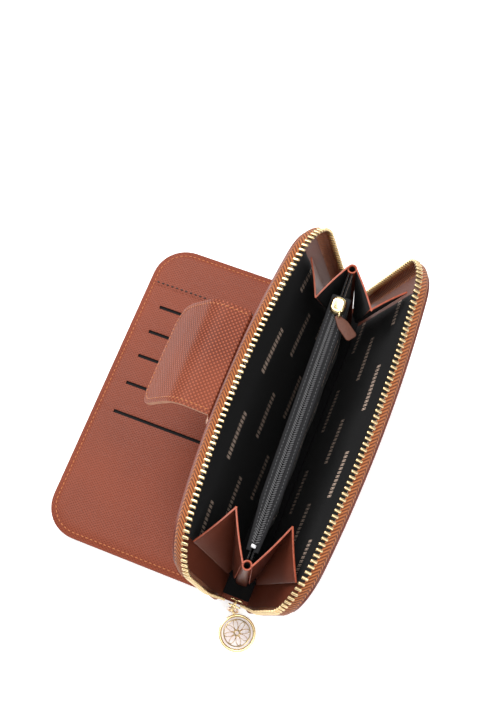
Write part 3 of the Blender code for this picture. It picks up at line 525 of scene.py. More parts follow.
class Looks:
    """Every finish of the wallet, made once."""

    def __init__(self) -> None:
        """Make the materials."""
        brown, shade = (0.250, 0.056, 0.026), (0.135, 0.026, 0.011)
        self.leather = LeatherFinish("saffiano_leather", brown, shade).make()
        self.gusset = LeatherFinish(
            "gusset_leather", (0.150, 0.036, 0.018), (0.075, 0.017, 0.009), Grain.SMOOTH, 0.46
        ).make()
        self.tab = LeatherFinish(
            "embossed_leather",
            (0.330, 0.085, 0.040),
            (0.130, 0.026, 0.011),
            Grain.WOVEN,
            0.56,
            hatch_depth=0.05,
        ).make()
        self.strap = LeatherFinish(
            "pull_leather", (0.125, 0.045, 0.026), (0.060, 0.020, 0.013), Grain.SMOOTH
        ).make()
        self.paint = PaintFinish("painted_edge", (0.460, 0.095, 0.042), (0.300, 0.055, 0.024)).make()
        self.dark_paint = PaintFinish(
            "dark_painted_edge", (0.200, 0.045, 0.026), (0.120, 0.026, 0.018)
        ).make()
        self.pale_paint = PaintFinish(
            "pale_painted_edge", (0.560, 0.300, 0.190), (0.430, 0.190, 0.110)
        ).make()
        self.tape = HerringboneFinish("herringbone_tape", (0.600, 0.190, 0.050), (0.170, 0.040, 0.010)).make()
        self.lining = LiningFinish("printed_lining", (0.0055, 0.0055, 0.0060), (0.720, 0.540, 0.430)).make()
        self.plain = LiningFinish("plain_lining", (0.0050, 0.0050, 0.0055), (0.1, 0.1, 0.1), False).make()
        self.black = LiningFinish("black_tape", (0.0090, 0.0090, 0.0100), (0.1, 0.1, 0.1), False).make()
        self.gold = MetalFinish("pale_gold", (0.800, 0.610, 0.340), 0.27).make()
        self.bright = MetalFinish("bright_gold", (0.930, 0.740, 0.400), 0.12).make()
        self.rose = MetalFinish("rose_gold", (0.900, 0.700, 0.560), 0.14).make()
        self.steel = MetalFinish("dull_steel", (0.420, 0.420, 0.430), 0.30).make()
        self.pearl = PearlFinish("pearl_inlay", (0.860, 0.800, 0.780), (0.760, 0.640, 0.620)).make()
        self.thread = ThreadFinish("orange_thread", (0.620, 0.210, 0.065)).make()
        self.dark_thread = ThreadFinish("brown_thread", (0.045, 0.016, 0.010)).make()
        self.grey_thread = ThreadFinish("grey_filament", (0.120, 0.120, 0.126)).make()
        self.board = BoardFinish("pressed_board", (0.30, 0.24, 0.17)).make()
        self.foil = BoardFinish("magnet_steel", (0.45, 0.45, 0.46), 1.0).make()


# ---------------------------------------------------------------- mesh work


@dataclass
class Wall:
    """A sheet's thickness, how its edges are rounded, and the materials of its back and rim."""

    thickness: float
    round_edge: float = 0.0003
    back: int = 0
    rim: int = 0
    segments: int = 2


def sheet(columns: int, rows: int, place: Place, chart: Callable) -> Body:
    """A grid laid over a surface.

    Args:
        columns: how many faces along the first direction.
        rows: how many along the second.
        place: the point for a pair of shares from 0 to 1.
        chart: the map in metres for the same pair.

    Returns:
        The open sheet with its map.
    """
    body = bmesh.new()
    bmesh.ops.create_grid(body, x_segments=columns, y_segments=rows, size=0.5)
    layer = body.loops.layers.uv.new("UVMap")
    shares = {vert: (vert.co.x + 0.5, vert.co.y + 0.5) for vert in body.verts}
    for face in body.faces:
        for loop in face.loops:
            loop[layer].uv = chart(*shares[loop.vert])
    for vert, pair in shares.items():
        vert.co = place(*pair)
    body.normal_update()
    return body


def chart_flat(body: Body, first: int = 0, second: int = 1) -> None:
    """Map a body by two of its own coordinates."""
    layer = body.loops.layers.uv.get("UVMap") or body.loops.layers.uv.new("UVMap")
    for face in body.faces:
        for loop in face.loops:
            loop[layer].uv = (loop.vert.co[first], loop.vert.co[second])


def piece(
    name: str,
    body: Body,
    looks: Sequence[Look],
    wall: Optional[Wall] = None,
    sharp: float = 40.0,
    outwards: bool = False,
) -> Made:
    """Turn a bmesh into a finished object whose modifiers are applied.

    Args:
        name: the piece's name.
        body: the bmesh, which is used up.
        looks: its materials, by face index.
        wall: a thickness, for a sheet.
        sharp: edges steeper than this many degrees stay sharp.
        outwards: recalculate the normals of a closed body.

    Returns:
        The object, in place.
    """
    if outwards:
        bmesh.ops.remove_doubles(body, verts=body.verts, dist=1e-7)
        bmesh.ops.recalc_face_normals(body, faces=body.faces)
    mesh = bpy.data.meshes.new(name)
    body.to_mesh(mesh)
    body.free()
    for look in looks:
        mesh.materials.append(look)
    made = bpy.data.objects.new(name, mesh)
    bpy.context.scene.collection.objects.link(made)
    if wall:
        skin = made.modifiers.new("wall", "SOLIDIFY")
        skin.thickness = wall.thickness
        skin.offset = 0.0
        skin.material_offset = wall.back
        skin.material_offset_rim = wall.rim
        skin.use_even_offset = True
        if wall.round_edge:
            add_bevel(made, wall.round_edge, wall.segments)
    if made.modifiers:
        graph = bpy.context.evaluated_depsgraph_get()
        applied = bpy.data.meshes.new_from_object(made.evaluated_get(graph), depsgraph=graph)
        made.modifiers.clear()
        made.data = applied
        bpy.data.meshes.remove(mesh)
    made.data.name = name
    made.data.shade_smooth()
    made.data.set_sharp_from_angle(angle=math.radians(sharp))
    LOG.info("%s: %d faces", name, len(made.data.polygons))
    return made


def add_bevel(target: Made, width: float, segments: int = 2) -> None:
    """Round the sharp edges of an object with a modifier.

    Args:
        target: the object.
        width: how wide the rounding is.
        segments: faces across the rounding.
    """
    edge = target.modifiers.new("edge", "BEVEL")
    edge.width = width
    edge.segments = segments
    edge.limit_method = "ANGLE"
    edge.angle_limit = math.radians(50)


def attach(made: Made, body: str, slot: str, *nodes: str) -> Made:
    """Ride on a body, and stand for CAD nodes.

    Args:
        made: the piece.
        body: the body that it rides on.
        slot: the record's material slot; not used.
        nodes: the CAD nodes that it stands for.

    Returns:
        The same piece.
    """
    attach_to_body(made, body)
    if nodes:
        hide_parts(*nodes)
    return made


def axes(origin: Vector, x: Vector, y: Vector, z: Vector) -> Matrix:
    """A frame from its origin and its three directions."""
    return Matrix.Translation(origin) @ Matrix((x, y, z)).transposed().to_4x4()


def frame_at(origin: Vector, first: Vector, third: Vector) -> Matrix:
    """A frame with X along the first direction and Z as near the third as it can be."""
    x = first.normalized()
    y = third.cross(x).normalized()
    return axes(origin, x, y, x.cross(y))


def joint(name: str) -> tuple[Vector, Vector]:
    """A joint's point and axis at rest. A slide has no point of its own."""
    found = next(row for row in frame["joints"] if row["name"] == name)
    return Vector(found.get("pos_m", (0, 0, 0))), Vector(found["axis"]).normalized()


def smoothstep(share: float) -> float:
    """0 to 1 with level ends."""
    held = min(max(share, 0.0), 1.0)
    return held * held * (3 - 2 * held)


def along_line(points: Sequence[Vector], spacing: float) -> list[tuple[Vector, Vector]]:
    """Evenly spaced points on a line of points, each with its direction.

    Args:
        points: the line as points.
        spacing: the step.

    Returns:
        Each point with its direction.
    """
    lengths = [0.0]
    for first, second in zip(points, points[1:]):
        lengths.append(lengths[-1] + (second - first).length)
    count = max(1, round(lengths[-1] / spacing))
    found, index = [], 0
    for number in range(count):
        reach = lengths[-1] * (number + 0.5) / count
        while lengths[index + 1] < reach:
            index += 1
        first, second = points[index], points[index + 1]
        share = (reach - lengths[index]) / (lengths[index + 1] - lengths[index])
        found.append((first.lerp(second, share), (second - first).normalized()))
    return found


@dataclass(frozen=True)
class Stitching:
    """A sewn line: its stitch length, pitch and thread radius."""

    length: float = 2.0 * MM
    pitch: float = 2.8 * MM
    radius: float = 0.30 * MM

    def sew(
        self, body: Body, points: Sequence[Vector], normals: Callable[[Vector], Vector]
    ) -> None:
        """Add the stitches along a line.

        Args:
            body: the bmesh that takes them.
            points: the line on the leather's face.
            normals: the face's direction at a point.
        """
        for middle, heading in along_line(points, self.pitch):
            side = normals(middle).cross(heading).normalized()
            turn = axes(middle, heading, side, heading.cross(side))
            shape = Matrix.Diagonal((self.length / 2, self.radius, self.radius * 0.8, 1.0))
            bmesh.ops.create_uvsphere(body, u_segments=6, v_segments=4, radius=1.0, matrix=turn @ shape)


def wire_ring(
    body: Body, radius: float, wire: float, place: Matrix, steps: int, sides: int
) -> None:
    """A closed wire ring about the Z of a place.

    Args:
        body: the bmesh that takes it.
        radius: the ring's middle radius.
        wire: the wire's radius.
        place: where it stands.
        steps: steps round the ring.
        sides: sides round the wire.
    """
    stand = place @ Matrix.Translation((radius, 0, 0)) @ QUARTER_X
    loop = bmesh.ops.create_circle(body, cap_ends=False, segments=sides, radius=wire, matrix=stand)["verts"]
    edges = list({edge for vert in loop for edge in vert.link_edges})
    axis = place.to_3x3() @ UP
    bmesh.ops.spin(
        body,
        geom=loop + edges,
        cent=place.translation,
        axis=axis,
        angle=math.tau,
        steps=steps,
        use_merge=True,
    )


def outline_body(points: Sequence[tuple[float, float]], low: float, high: float) -> Body:
    """A flat outline raised from one height to another.

    Args:
        points: the outline.
        low: the lower height.
        high: the upper height.

    Returns:
        The solid.
    """
    body = bmesh.new()
    face = body.faces.new([body.verts.new((x, y, low)) for x, y in points])
    raised = bmesh.ops.extrude_face_region(body, geom=[face])["geom"]
    verts = [item for item in raised if isinstance(item, bmesh.types.BMVert)]
    bmesh.ops.translate(body, verts=verts, vec=(0, 0, high - low))
    bmesh.ops.recalc_face_normals(body, faces=body.faces)
    return body


def bevel(body: Body, edges: list, width: float, segments: int) -> None:
    """Round edges of a body."""
    settings = {"segments": segments, "profile": 0.5, "affect": "EDGES", "material": -1}
    bmesh.ops.bevel(body, geom=edges, offset=width, **settings)


def round_edges(body: Body, width: float, segments: int = 2) -> None:
    """Bevel every sharp edge of a body."""
    bmesh.ops.recalc_face_normals(body, faces=body.faces)
    sharp = [edge for edge in body.edges if edge.is_manifold and edge.calc_face_angle() > math.radians(40)]
    bevel(body, sharp, width, segments)


def rounded_box(
    x_low: float, x_high: float, y_low: float, y_high: float, radii: dict, steps: int = 8
) -> list[tuple[float, float]]:
    """A rectangle's outline whose named corners, such as "-+", have the radius given.

    Args:
        x_low: the lowest x.
        x_high: the highest x.
        y_low: the lowest y.
        y_high: the highest y.
        radii: radii by corner.
        steps: steps in each corner.

    Returns:
        The corners in order.
    """
    outline = []
    for key, start in (("++", 0.0), ("-+", 0.25), ("--", 0.5), ("+-", 0.75)):
        x = x_high if key[0] == "+" else x_low
        y = y_high if key[1] == "+" else y_low
        radius = radii.get(key, 0.0)
        if not radius:
            outline.append((x, y))
            continue
        centre_x = x - math.copysign(radius, x - (x_low + x_high) / 2)
        centre_y = y - math.copysign(radius, y - (y_low + y_high) / 2)
        for step in range(steps + 1):
            turn = math.tau * (start + 0.25 * step / steps)
            outline.append((centre_x + radius * math.cos(turn), centre_y + radius * math.sin(turn)))
    return outline


# ---------------------------------------------------------------- shared sizes


@dataclass(frozen=True)
class Build:
    """Sizes of the frame that more than one sub-assembly follows."""

    length: float = 0.190
    height: float = 0.102
    corner: float = 0.0207
    hinge_depth: float = 0.0050
    leather: float = 0.0012
    lining_low: float = 0.0026
    lining_face: float = 0.0031
    tape_low: float = 0.0015
    tape_rise: float = 0.0060
    teeth_out: float = 0.0032
    zip_tuck: float = 0.0050
    zip_tuck_height: float = 0.0450
    band_top: float = 0.0862


BUILD = Build()


@dataclass(frozen=True)
class Side:
    """One cover: its name, which way X points into the wallet, its lean and its bow."""

    name: str
    inward: int
    lean: float
    bow: float

    def on(self, along: float, up: float, inward: float) -> Vector:
        """A point of the cover, whose rim bows outwards towards mid length."""
        bow = self.bow * (1 - (2 * along / BUILD.length) ** 2) * up / BUILD.height
        local = Vector((self.inward * (inward - bow - BUILD.hinge_depth), along, up))
        return self.matrix() @ local

    def matrix(self) -> Matrix:
        """The cover's frame at rest: origin on its hinge, Z up the cover."""
        origin, _ = joint(f"{self.name}_cover_hinge")
        return Matrix.Translation(origin) @ Matrix.Rotation(-self.inward * self.lean, 4, "Y")

    def outward(self) -> Vector:
        """The direction that the cover's leather faces."""
        return self.matrix().to_3x3() @ Vector((-self.inward, 0, 0))


LEFT = Side("left", 1, math.radians(8.8), 0.0078)
RIGHT = Side("right", -1, math.radians(19.7), 0.0057)


# ---------------------------------------------------------------- covers


@dataclass
class Cover:
    """One cover: its leather, lining, zip tape, teeth, end stop and stitches."""

    side: Side
    looks: Looks
    columns: int = 92
    rows: int = 30
    foot: float = 0.0008
    rim_turn: float = 0.0004
    tooth_width: float = 0.0017
    tooth_thick: float = 0.0019
    tooth_pitch: float = 0.0030
    tooth_round: float = 0.00045
    tooth_taper: float = 0.86
    head_reach: float = 0.0096
    tape_width: float = 0.0090
    tape_step: float = 0.0015
    tape_thick: float = 0.0006
    lining_inset: float = 0.0020
    lining_ripple: float = 0.00012
    corner_share: float = 0.24
    row_near: float = 0.0110
    row_far: float = 0.0100
    stitch_inset: float = 0.0030
    facing_near: float = -0.0790
    facing_far: float = 0.0832

    def build(self) -> None:
        """Make every piece of the cover."""
        name, body = self.side.name, f"{self.side.name}_cover"
        attach(self.leather(), body, "leather", f"{name}_cover_leather")
        attach(self.lining(), body, "lining", f"{name}_cover_lining")
        attach(self.tape(), body, "zip_tape", f"{name}_zip_tape")
        attach(self.teeth(), body, "gold", f"{name}_zip_teeth")
        attach(self.stop(), body, "gold", f"{name}_zip_stop")
        attach(self.stitches(), body, "leather")

    def top(self, along: float, inset: float) -> float:
        """How high the cover reaches at a place along it."""
        radius = BUILD.corner - inset
        into = abs(along) - (BUILD.length / 2 - inset - radius)
        base = BUILD.height - inset - radius
        return base + math.sqrt(max(radius**2 - max(into, 0.0) ** 2, 0.0))

    def column(self, share: float, inset: float) -> float:
        """The place along the cover of a column, with columns close together in the corners.

        Args:
            share: the share along the cover.
            inset: how far inside the edge.

        Returns:
            The place along the cover.
        """
        half = BUILD.length / 2 - inset
        radius = BUILD.corner - inset
        signed = 2 * share - 1
        straight = 1 - self.corner_share
        reach = abs(signed)
        if reach < straight:
            along = (half - radius) * reach / straight
        else:
            turn = math.pi / 2 * (reach - straight) / self.corner_share
            along = half - radius + radius * math.sin(turn)
        return math.copysign(along, signed)

    def face(self, inset: float, depth: float) -> tuple[Place, Callable]:
        """A cover surface at a depth, and its map.

        Args:
            inset: how far inside the edge.
            depth: how far into the wallet from the outer face.

        Returns:
            The surface, and its map.
        """

        def pair(u: float, v: float) -> tuple[float, float]:
            """Where a pair of shares lies on the cover."""
            along = self.column(u, inset)
            return along, self.foot + (self.top(along, inset) - self.foot) * v

        def place(u: float, v: float) -> Vector:
            """The point for a pair of shares."""
            return self.side.on(*pair(u, v), depth)

        return place, pair

    def leather(self) -> Made:
        """The outer leather, with a painted edge."""
        place, chart = self.face(0.0, BUILD.leather / 2)
        body = sheet(self.columns, self.rows, place, chart)
        wall = Wall(BUILD.leather, self.rim_turn, rim=1, segments=3)
        return piece(f"{self.side.name}_cover_skin", body, (self.looks.leather, self.looks.dark_paint), wall)

    def lining(self) -> Made:
        """The printed lining, which ripples a little.

        Returns:
            The finished piece.
        """
        place, chart = self.face(self.lining_inset, (BUILD.lining_low + BUILD.lining_face) / 2)
        inwards = -self.side.outward()

        def rippled(u: float, v: float) -> Vector:
            """The point, with a shallow ripple."""
            along, up = chart(u, v)
            swell = math.sin(along * 170 + up * 60) * math.sin(up * 120 - along * 25) * math.sin(math.pi * v)
            return place(u, v) - inwards * self.lining_ripple * (1 + swell)

        body = sheet(self.columns, self.rows, rippled, chart)
        for face in body.faces:
            middle = face.calc_center_median().y
            if middle < self.facing_near or middle > self.facing_far:
                face.material_index = 1
        wall = Wall(BUILD.lining_face - BUILD.lining_low - 0.1 * MM, 0.0)
        return piece(f"{self.side.name}_inner_lining", body, (self.looks.lining, self.looks.gusset), wall)

    def rim(self, spacing: float, near: float, far: float) -> list[tuple[float, float, float, float]]:
        """Evenly spaced (along, up, outward along, outward up) round the leather's edge.

        Args:
            spacing: the step.
            near: the row's lowest height at the near end.
            far: the row's lowest height at the far end.

        Returns:
            The places in order.
        """
        half = BUILD.length / 2
        run = BUILD.height - BUILD.corner
        quarter = math.pi / 2 * (BUILD.corner + BUILD.teeth_out)
        top_run = BUILD.length - 2 * BUILD.corner
        lengths = (run - near, quarter, top_run, quarter, run - far)
        count = round(sum(lengths) / spacing)
        found = []
        for step in range(count + 1):
            reach = sum(lengths) * step / count
            if reach <= lengths[0]:
                found.append((-half, near + reach, -1.0, 0.0))
                continue
            reach -= lengths[0]
            if reach <= quarter:
                found.append(self.corner_point(-1, math.pi / 2 * reach / quarter))
                continue
            reach -= quarter
            if reach <= top_run:
                found.append((-half + BUILD.corner + reach, BUILD.height, 0.0, 1.0))
                continue
            reach -= top_run
            if reach <= quarter:
                found.append(self.corner_point(1, math.pi / 2 * (1 - reach / quarter)))
                continue
            found.append((half, run - (reach - quarter), 1.0, 0.0))
        return found

    @staticmethod
    def corner_point(end: int, turn: float) -> tuple[float, float, float, float]:
        """A point of the rim's round corner, turned from level to upright."""
        level, upright = math.cos(turn), math.sin(turn)
        along = end * (BUILD.length / 2 - BUILD.corner + BUILD.corner * level)
        return (along, BUILD.height - BUILD.corner + BUILD.corner * upright, end * level, upright)

    def on_rim(self, place: tuple[float, float, float, float], inward: float, outside: float) -> Vector:
        """A point beside the rim, where the zip tucks in near the slider's end."""
        along, up, out_along, out_up = place
        share = min(max((inward - BUILD.tape_low) / (BUILD.tape_rise - BUILD.tape_low - 0.001), 0.0), 1.0)
        tuck = BUILD.zip_tuck * max(0.0, 1 - up / BUILD.zip_tuck_height) * share if out_along <= -1.0 else 0.0
        return self.side.on(along + out_along * outside + tuck, up + out_up * outside, inward)

    def tape_line(self, share: float) -> tuple[float, float]:
        """(inward, outside) of the tape's middle surface, from under the leather to its bead.

        Args:
            share: the share across the tape.

        Returns:
            How far inward, and how far outside.
        """
        stops = (
            (0.00, 0.00185, -0.0032),
            (0.20, 0.00175, -0.0006),
            (0.32, 0.00165, 0.0007),
            (0.44, 0.00215, 0.0018),
            (0.58, 0.00330, 0.0027),
            (0.78, 0.00495, 0.0032),
            (1.00, 0.00680, 0.0033),
        )
        for low, high in zip(stops, stops[1:]):
            if share <= high[0]:
                part = (share - low[0]) / (high[0] - low[0])
                return (low[1] + (high[1] - low[1]) * part, low[2] + (high[2] - low[2]) * part)
        return stops[-1][1:]

    def tape(self) -> Made:
        """The herringbone tape, which runs out under the teeth.

        Returns:
            The finished piece.
        """
        points = self.rim(self.tape_step, self.row_near - 0.003, self.row_far - 0.005)
        last = len(points) - 1

        def place(u: float, v: float) -> Vector:
            """The point of the tape."""
            return self.on_rim(points[round(u * last)], *self.tape_line(v))

        body = sheet(last, 14, place, lambda u, v: (u * last * self.tape_step, v * self.tape_width))
        return piece(f"{self.side.name}_zip_band", body, (self.looks.tape,), Wall(self.tape_thick, 0.0))

    def tooth(self, place: Matrix, length: float, body: Body) -> None:
        """One tooth: a rounded bar that tapers towards its head.

        Args:
            place: X towards the tooth's head, Y out of its face, Z along the row.
            length: from the legs to the head.
            body: the bmesh that takes it.
        """
        size = Matrix.Diagonal((length, self.tooth_thick, self.tooth_width, 1.0))
        made = bmesh.ops.create_cube(body, size=1.0, matrix=place @ size)["verts"]
        head = [vert for vert in made if (place.inverted() @ vert.co).x > 0]
        middle = sum((vert.co for vert in head), Vector()) / len(head)
        for vert in head:
            vert.co = middle + (vert.co - middle) * self.tooth_taper
        edges = list({edge for vert in made for edge in vert.link_edges})
        bevel(body, edges, self.tooth_round, 2)

    def teeth(self) -> Made:
        """The row of teeth.

        Returns:
            The finished piece.
        """
        body = bmesh.new()
        points = self.rim(self.tooth_pitch, self.row_near, self.row_far)
        out = BUILD.teeth_out
        for before, place, after in zip(points, points[1:], points[2:]):
            foot = self.on_rim(place, BUILD.tape_rise + 0.1 * MM, out)
            head = self.on_rim(place, self.head_reach, out)
            heading = self.on_rim(after, self.head_reach, out) - self.on_rim(before, self.head_reach, out)
            inward = (head - foot).normalized()
            face = heading.cross(inward).normalized()
            turn = axes((foot + head) / 2, inward, face, inward.cross(face))
            self.tooth(turn, (head - foot).length, body)
        return piece(f"{self.side.name}_teeth_row", body, (self.looks.gold,), sharp=60, outwards=True)

    def stop(self) -> Made:
        """The metal stop below the row's far end.

        Returns:
            The finished piece.
        """
        body = bmesh.new()
        up, length = self.row_far - 0.0019, 0.0028
        place = (BUILD.length / 2, up, 1.0, 0.0)
        foot = self.on_rim(place, BUILD.tape_rise + 0.3 * MM, BUILD.teeth_out)
        head = self.on_rim(place, self.head_reach, BUILD.teeth_out)
        inward = (head - foot).normalized()
        face = Vector((0, 1, 0))
        turn = axes((foot + head) / 2, inward, face, inward.cross(face))
        size = Matrix.Diagonal(((head - foot).length, self.tooth_thick, length, 1.0))
        bmesh.ops.create_cube(body, size=1.0, matrix=turn @ size)
        round_edges(body, 0.0005, 3)
        return piece(f"{self.side.name}_row_stop", body, (self.looks.gold,), outwards=True)

    def stitches(self) -> Made:
        """The sewn line round the cover's outer face.

        Returns:
            The finished piece.
        """
        body = bmesh.new()
        inset, outward = self.stitch_inset, self.side.outward()
        points = []
        for along, up, out_along, out_up in self.rim(0.002, 0.006, 0.006):
            points.append(self.side.on(along - out_along * inset, up - out_up * inset, -0.00005))
        Stitching().sew(body, points, lambda _: outward)
        return piece(f"{self.side.name}_cover_stitches", body, (self.looks.thread,), outwards=True)


# ---------------------------------------------------------------- spine and coin pocket


@dataclass
class Spine:
    """The spine's leather, the leather that bends up to each cover, and its lining."""

    looks: Looks
    half: float = 0.0095
    end: float = 0.0930
    thick: float = 0.0011

    def build(self) -> None:
        """Make the spine."""
        corners = dict.fromkeys(("++", "-+", "--", "+-"), 0.003)
        outline = rounded_box(-self.half, self.half, -self.end, self.end, corners)
        body = outline_body(outline, 0.0, BUILD.leather)
        round_edges(body, 0.00035, 2)
        chart_flat(body)
        attach(piece("spine_skin", body, (self.looks.leather,)), "spine", "leather", "spine_leather")
        for side in (LEFT, RIGHT):
            self.bend(side)
        dress("spine_lining", self.looks.plain)

    def bend(self, side: Side) -> None:
        """The leather that bends from the spine up to one cover's foot.

        Args:
            side: the cover.
        """
        edge = Vector((-side.inward * (self.half - 0.0006), 0, BUILD.leather / 2 + 0.0001))

        def place(u: float, v: float) -> Vector:
            """The point of the bend."""
            along = (2 * u - 1) * self.end
            foot = side.on(along, 0.0022, BUILD.leather / 2 + 0.0001)
            knee = Vector((foot.x - side.inward * 0.0002, along, edge.z + 0.0003))
            start = Vector((edge.x, along, edge.z))
            return start.lerp(knee, v).lerp(knee.lerp(foot, v), v)

        body = sheet(60, 8, place, lambda u, v: (u * 2 * self.end, v * 0.004))
        made = piece(f"{side.name}_spine_bend", body, (self.looks.leather,), Wall(self.thick, 0.0002))
        top = side.on(0.0, 0.0020, 0.0006)
        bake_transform(made)


def dress(node: str, look: Look) -> None:
    """Give a CAD node that stays in view, or inside, its finish.

    Args:
        node: the CAD node.
        look: its material.
    """
    shown = frame["nodes"][node]
    shown.data.materials.clear()
    shown.data.materials.append(look)
    chart = shown.data.uv_layers.get("UVMap") or shown.data.uv_layers.new(name="UVMap")
    for loop in shown.data.loops:
        point = shown.data.vertices[loop.vertex_index].co
        chart.data[loop.index].uv = (point.y, point.x + point.z)


def divider_x(along: float, height: float) -> float:
    """Middle of the divider: it leans towards the right cover, more so at the near end."""
    return (0.0066 - 0.040 * along) * height / BUILD.band_top


@dataclass
class CoinPocket:
    """The zipped pocket that divides the wallet: two panels, two tapes, the coil and its stops."""

    looks: Looks
    near: float = -0.0787
    far: float = 0.0802
    zip_near: float = -0.0750
    zip_far: float = 0.0660
    top: float = 0.0852
    foot: float = 0.0023
    half: float = 0.0046
    seam: float = 0.00045
    fabric: float = 0.0007
    tape_thick: float = 0.0006
    coil_half: float = 0.0013
    coil_pitch: float = 0.00125

    def build(self) -> None:
        """Make the pocket."""
        for side in (LEFT, RIGHT):
            sign = -side.inward
            attach(self.panel(side.name, sign), "spine", "lining", f"coin_pocket_{side.name}_panel")
            attach(self.tape(side.name, sign), "spine", "coin_tape", f"coin_zip_{side.name}_tape")
        attach(self.coil(), "spine", "coin_tape", "coin_zip_coil")
        for end, along in (("near", self.zip_near + 0.0024), ("far", self.zip_far - 0.0020)):
            attach(self.stop(end, along), "spine", "steel", f"coin_zip_{end}_stop")
        attach(self.stitches(), "spine", "coin_tape")

    def width(self, along: float) -> float:
        """Half the pocket's inner width at its mouth."""
        taper = 0.0100
        share = min((along + 0.0480 + taper) / taper, (0.0500 + taper - along) / taper)
        return self.seam + (self.half - self.seam) * smoothstep(share)

    def band_half(self, along: float) -> float:
        """Half the zip band's width, which narrows into the near gusset."""
        share = min(max((along - self.zip_near) / 0.030, 0.0), 1.0)
        return (0.0066 + 0.0041 * share) / 2

    def panel(self, name: str, sign: int) -> Made:
        """One side of the pocket, which bulges a little between its ends.

        Args:
            name: the name of its side.
            sign: -1 on the left, 1 on the right.

        Returns:
            The finished piece.
        """

        def place(u: float, v: float) -> Vector:
            """The point of the pocket's side."""
            along = self.near + (self.far - self.near) * u
            height = self.foot + (self.top - self.foot) * v
            share = 0.75 * min(v / 0.35, 1.0) + 0.25 * max((v - 0.35) / 0.65, 0.0)
            half = self.seam + (self.width(along) - self.seam) * share
            slack = 0.0007 * math.sin(math.pi * v) * math.sin(along * 95) ** 2
            return Vector((divider_x(along, height) + sign * (half + self.fabric / 2 + slack), along, height))

        body = sheet(80, 26, place, lambda u, v: ((self.far - self.near) * u, self.top * v + 0.011))
        looks = (self.looks.lining, self.looks.plain)
        return piece(f"coin_pocket_{name}_wall", body, looks, Wall(self.fabric, 0.0, rim=1))

    def tape(self, name: str, sign: int) -> Made:
        """One tape of the coin zip: level beside the coil, then rolled down over the pocket's side.

        Args:
            name: the name of its side.
            sign: -1 on the left, 1 on the right.

        Returns:
            The finished piece.
        """
        inner, roll = self.coil_half - 0.0006, 0.0008

        def place(u: float, v: float) -> Vector:
            """The point of the tape."""
            along = self.zip_near + (self.zip_far - self.zip_near) * u
            half = self.band_half(along) - 0.00035
            crown = BUILD.band_top - 0.00035
            flat = 0.62
            if v <= flat:
                out = inner + (half - roll - inner) * v / flat
                lift = 0.00018 * math.sin(math.pi * v / flat)
                return Vector((divider_x(along, crown) + sign * out, along, crown + lift))
            turn = math.pi / 2 * (v - flat) / (1 - flat)
            x = half - roll + roll * math.sin(turn)
            return Vector((divider_x(along, crown) + sign * x, along, crown - roll + roll * math.cos(turn)))

        body = sheet(60, 14, place, lambda u, v: ((self.zip_far - self.zip_near) * u, v * 0.006))
        return piece(f"coin_zip_{name}_band", body, (self.looks.black,), Wall(self.tape_thick, 0.0002))

    def coil(self) -> Made:
        """The meshed coil: slanted loops on each side, laid as chevrons.

        Returns:
            The finished piece.
        """
        body = bmesh.new()
        height = BUILD.band_top + 0.0006
        length = self.zip_far - 0.006 - (self.zip_near + 0.004)
        count = round(length / self.coil_pitch)
        for number in range(count):
            along = self.zip_near + 0.004 + length * (number + 0.5) / count
            for sign in (-1, 1):
                middle = Vector((divider_x(along, BUILD.band_top) + sign * 0.00095, along, height))
                heading = Vector((sign * 0.80, 0.60, 0.0))
                turn = axes(middle, heading, UP.cross(heading), UP)
                shape = Matrix.Diagonal((0.00125, 0.00038, 0.00050, 1.0))
                bmesh.ops.create_uvsphere(body, u_segments=8, v_segments=5, radius=1.0, matrix=turn @ shape)
        return piece("coin_zip_coil_loops", body, (self.looks.grey_thread,), outwards=True)

    def stop(self, end: str, along: float) -> Made:
        """A small metal stop across the coil's end.

        Args:
            end: "near" or "far".
            along: its place along the spine.

        Returns:
            The finished piece.
        """
        body = bmesh.new()
        centre = Vector((divider_x(along, BUILD.band_top), along, BUILD.band_top + 0.0008))
        size = Matrix.Diagonal((2 * self.coil_half, 0.0020, 0.0010, 1.0))
        bmesh.ops.create_cube(body, size=1.0, matrix=Matrix.Translation(centre) @ size)
        round_edges(body, 0.0003, 2)
        return piece(f"coin_zip_{end}_clip", body, (self.looks.steel,), outwards=True)

    def stitches(self) -> Made:
        """The fine sewn line along each edge of the coin zip.

        Returns:
            The finished piece.
        """
        body = bmesh.new()
        for sign in (-1, 1):
            points = []
            for step in range(29):
                along = self.zip_near + 0.004 + (self.zip_far - self.zip_near - 0.007) * step / 28
                x = divider_x(along, BUILD.band_top) + sign * (self.band_half(along) - 0.0018)
                points.append(Vector((x, along, BUILD.band_top + 0.00008)))
            Stitching(0.0014, 0.0020, 0.00016).sew(body, points, lambda _: UP)
        return piece("coin_zip_stitches", body, (self.looks.grey_thread,), outwards=True)


# ---------------------------------------------------------------- gussets


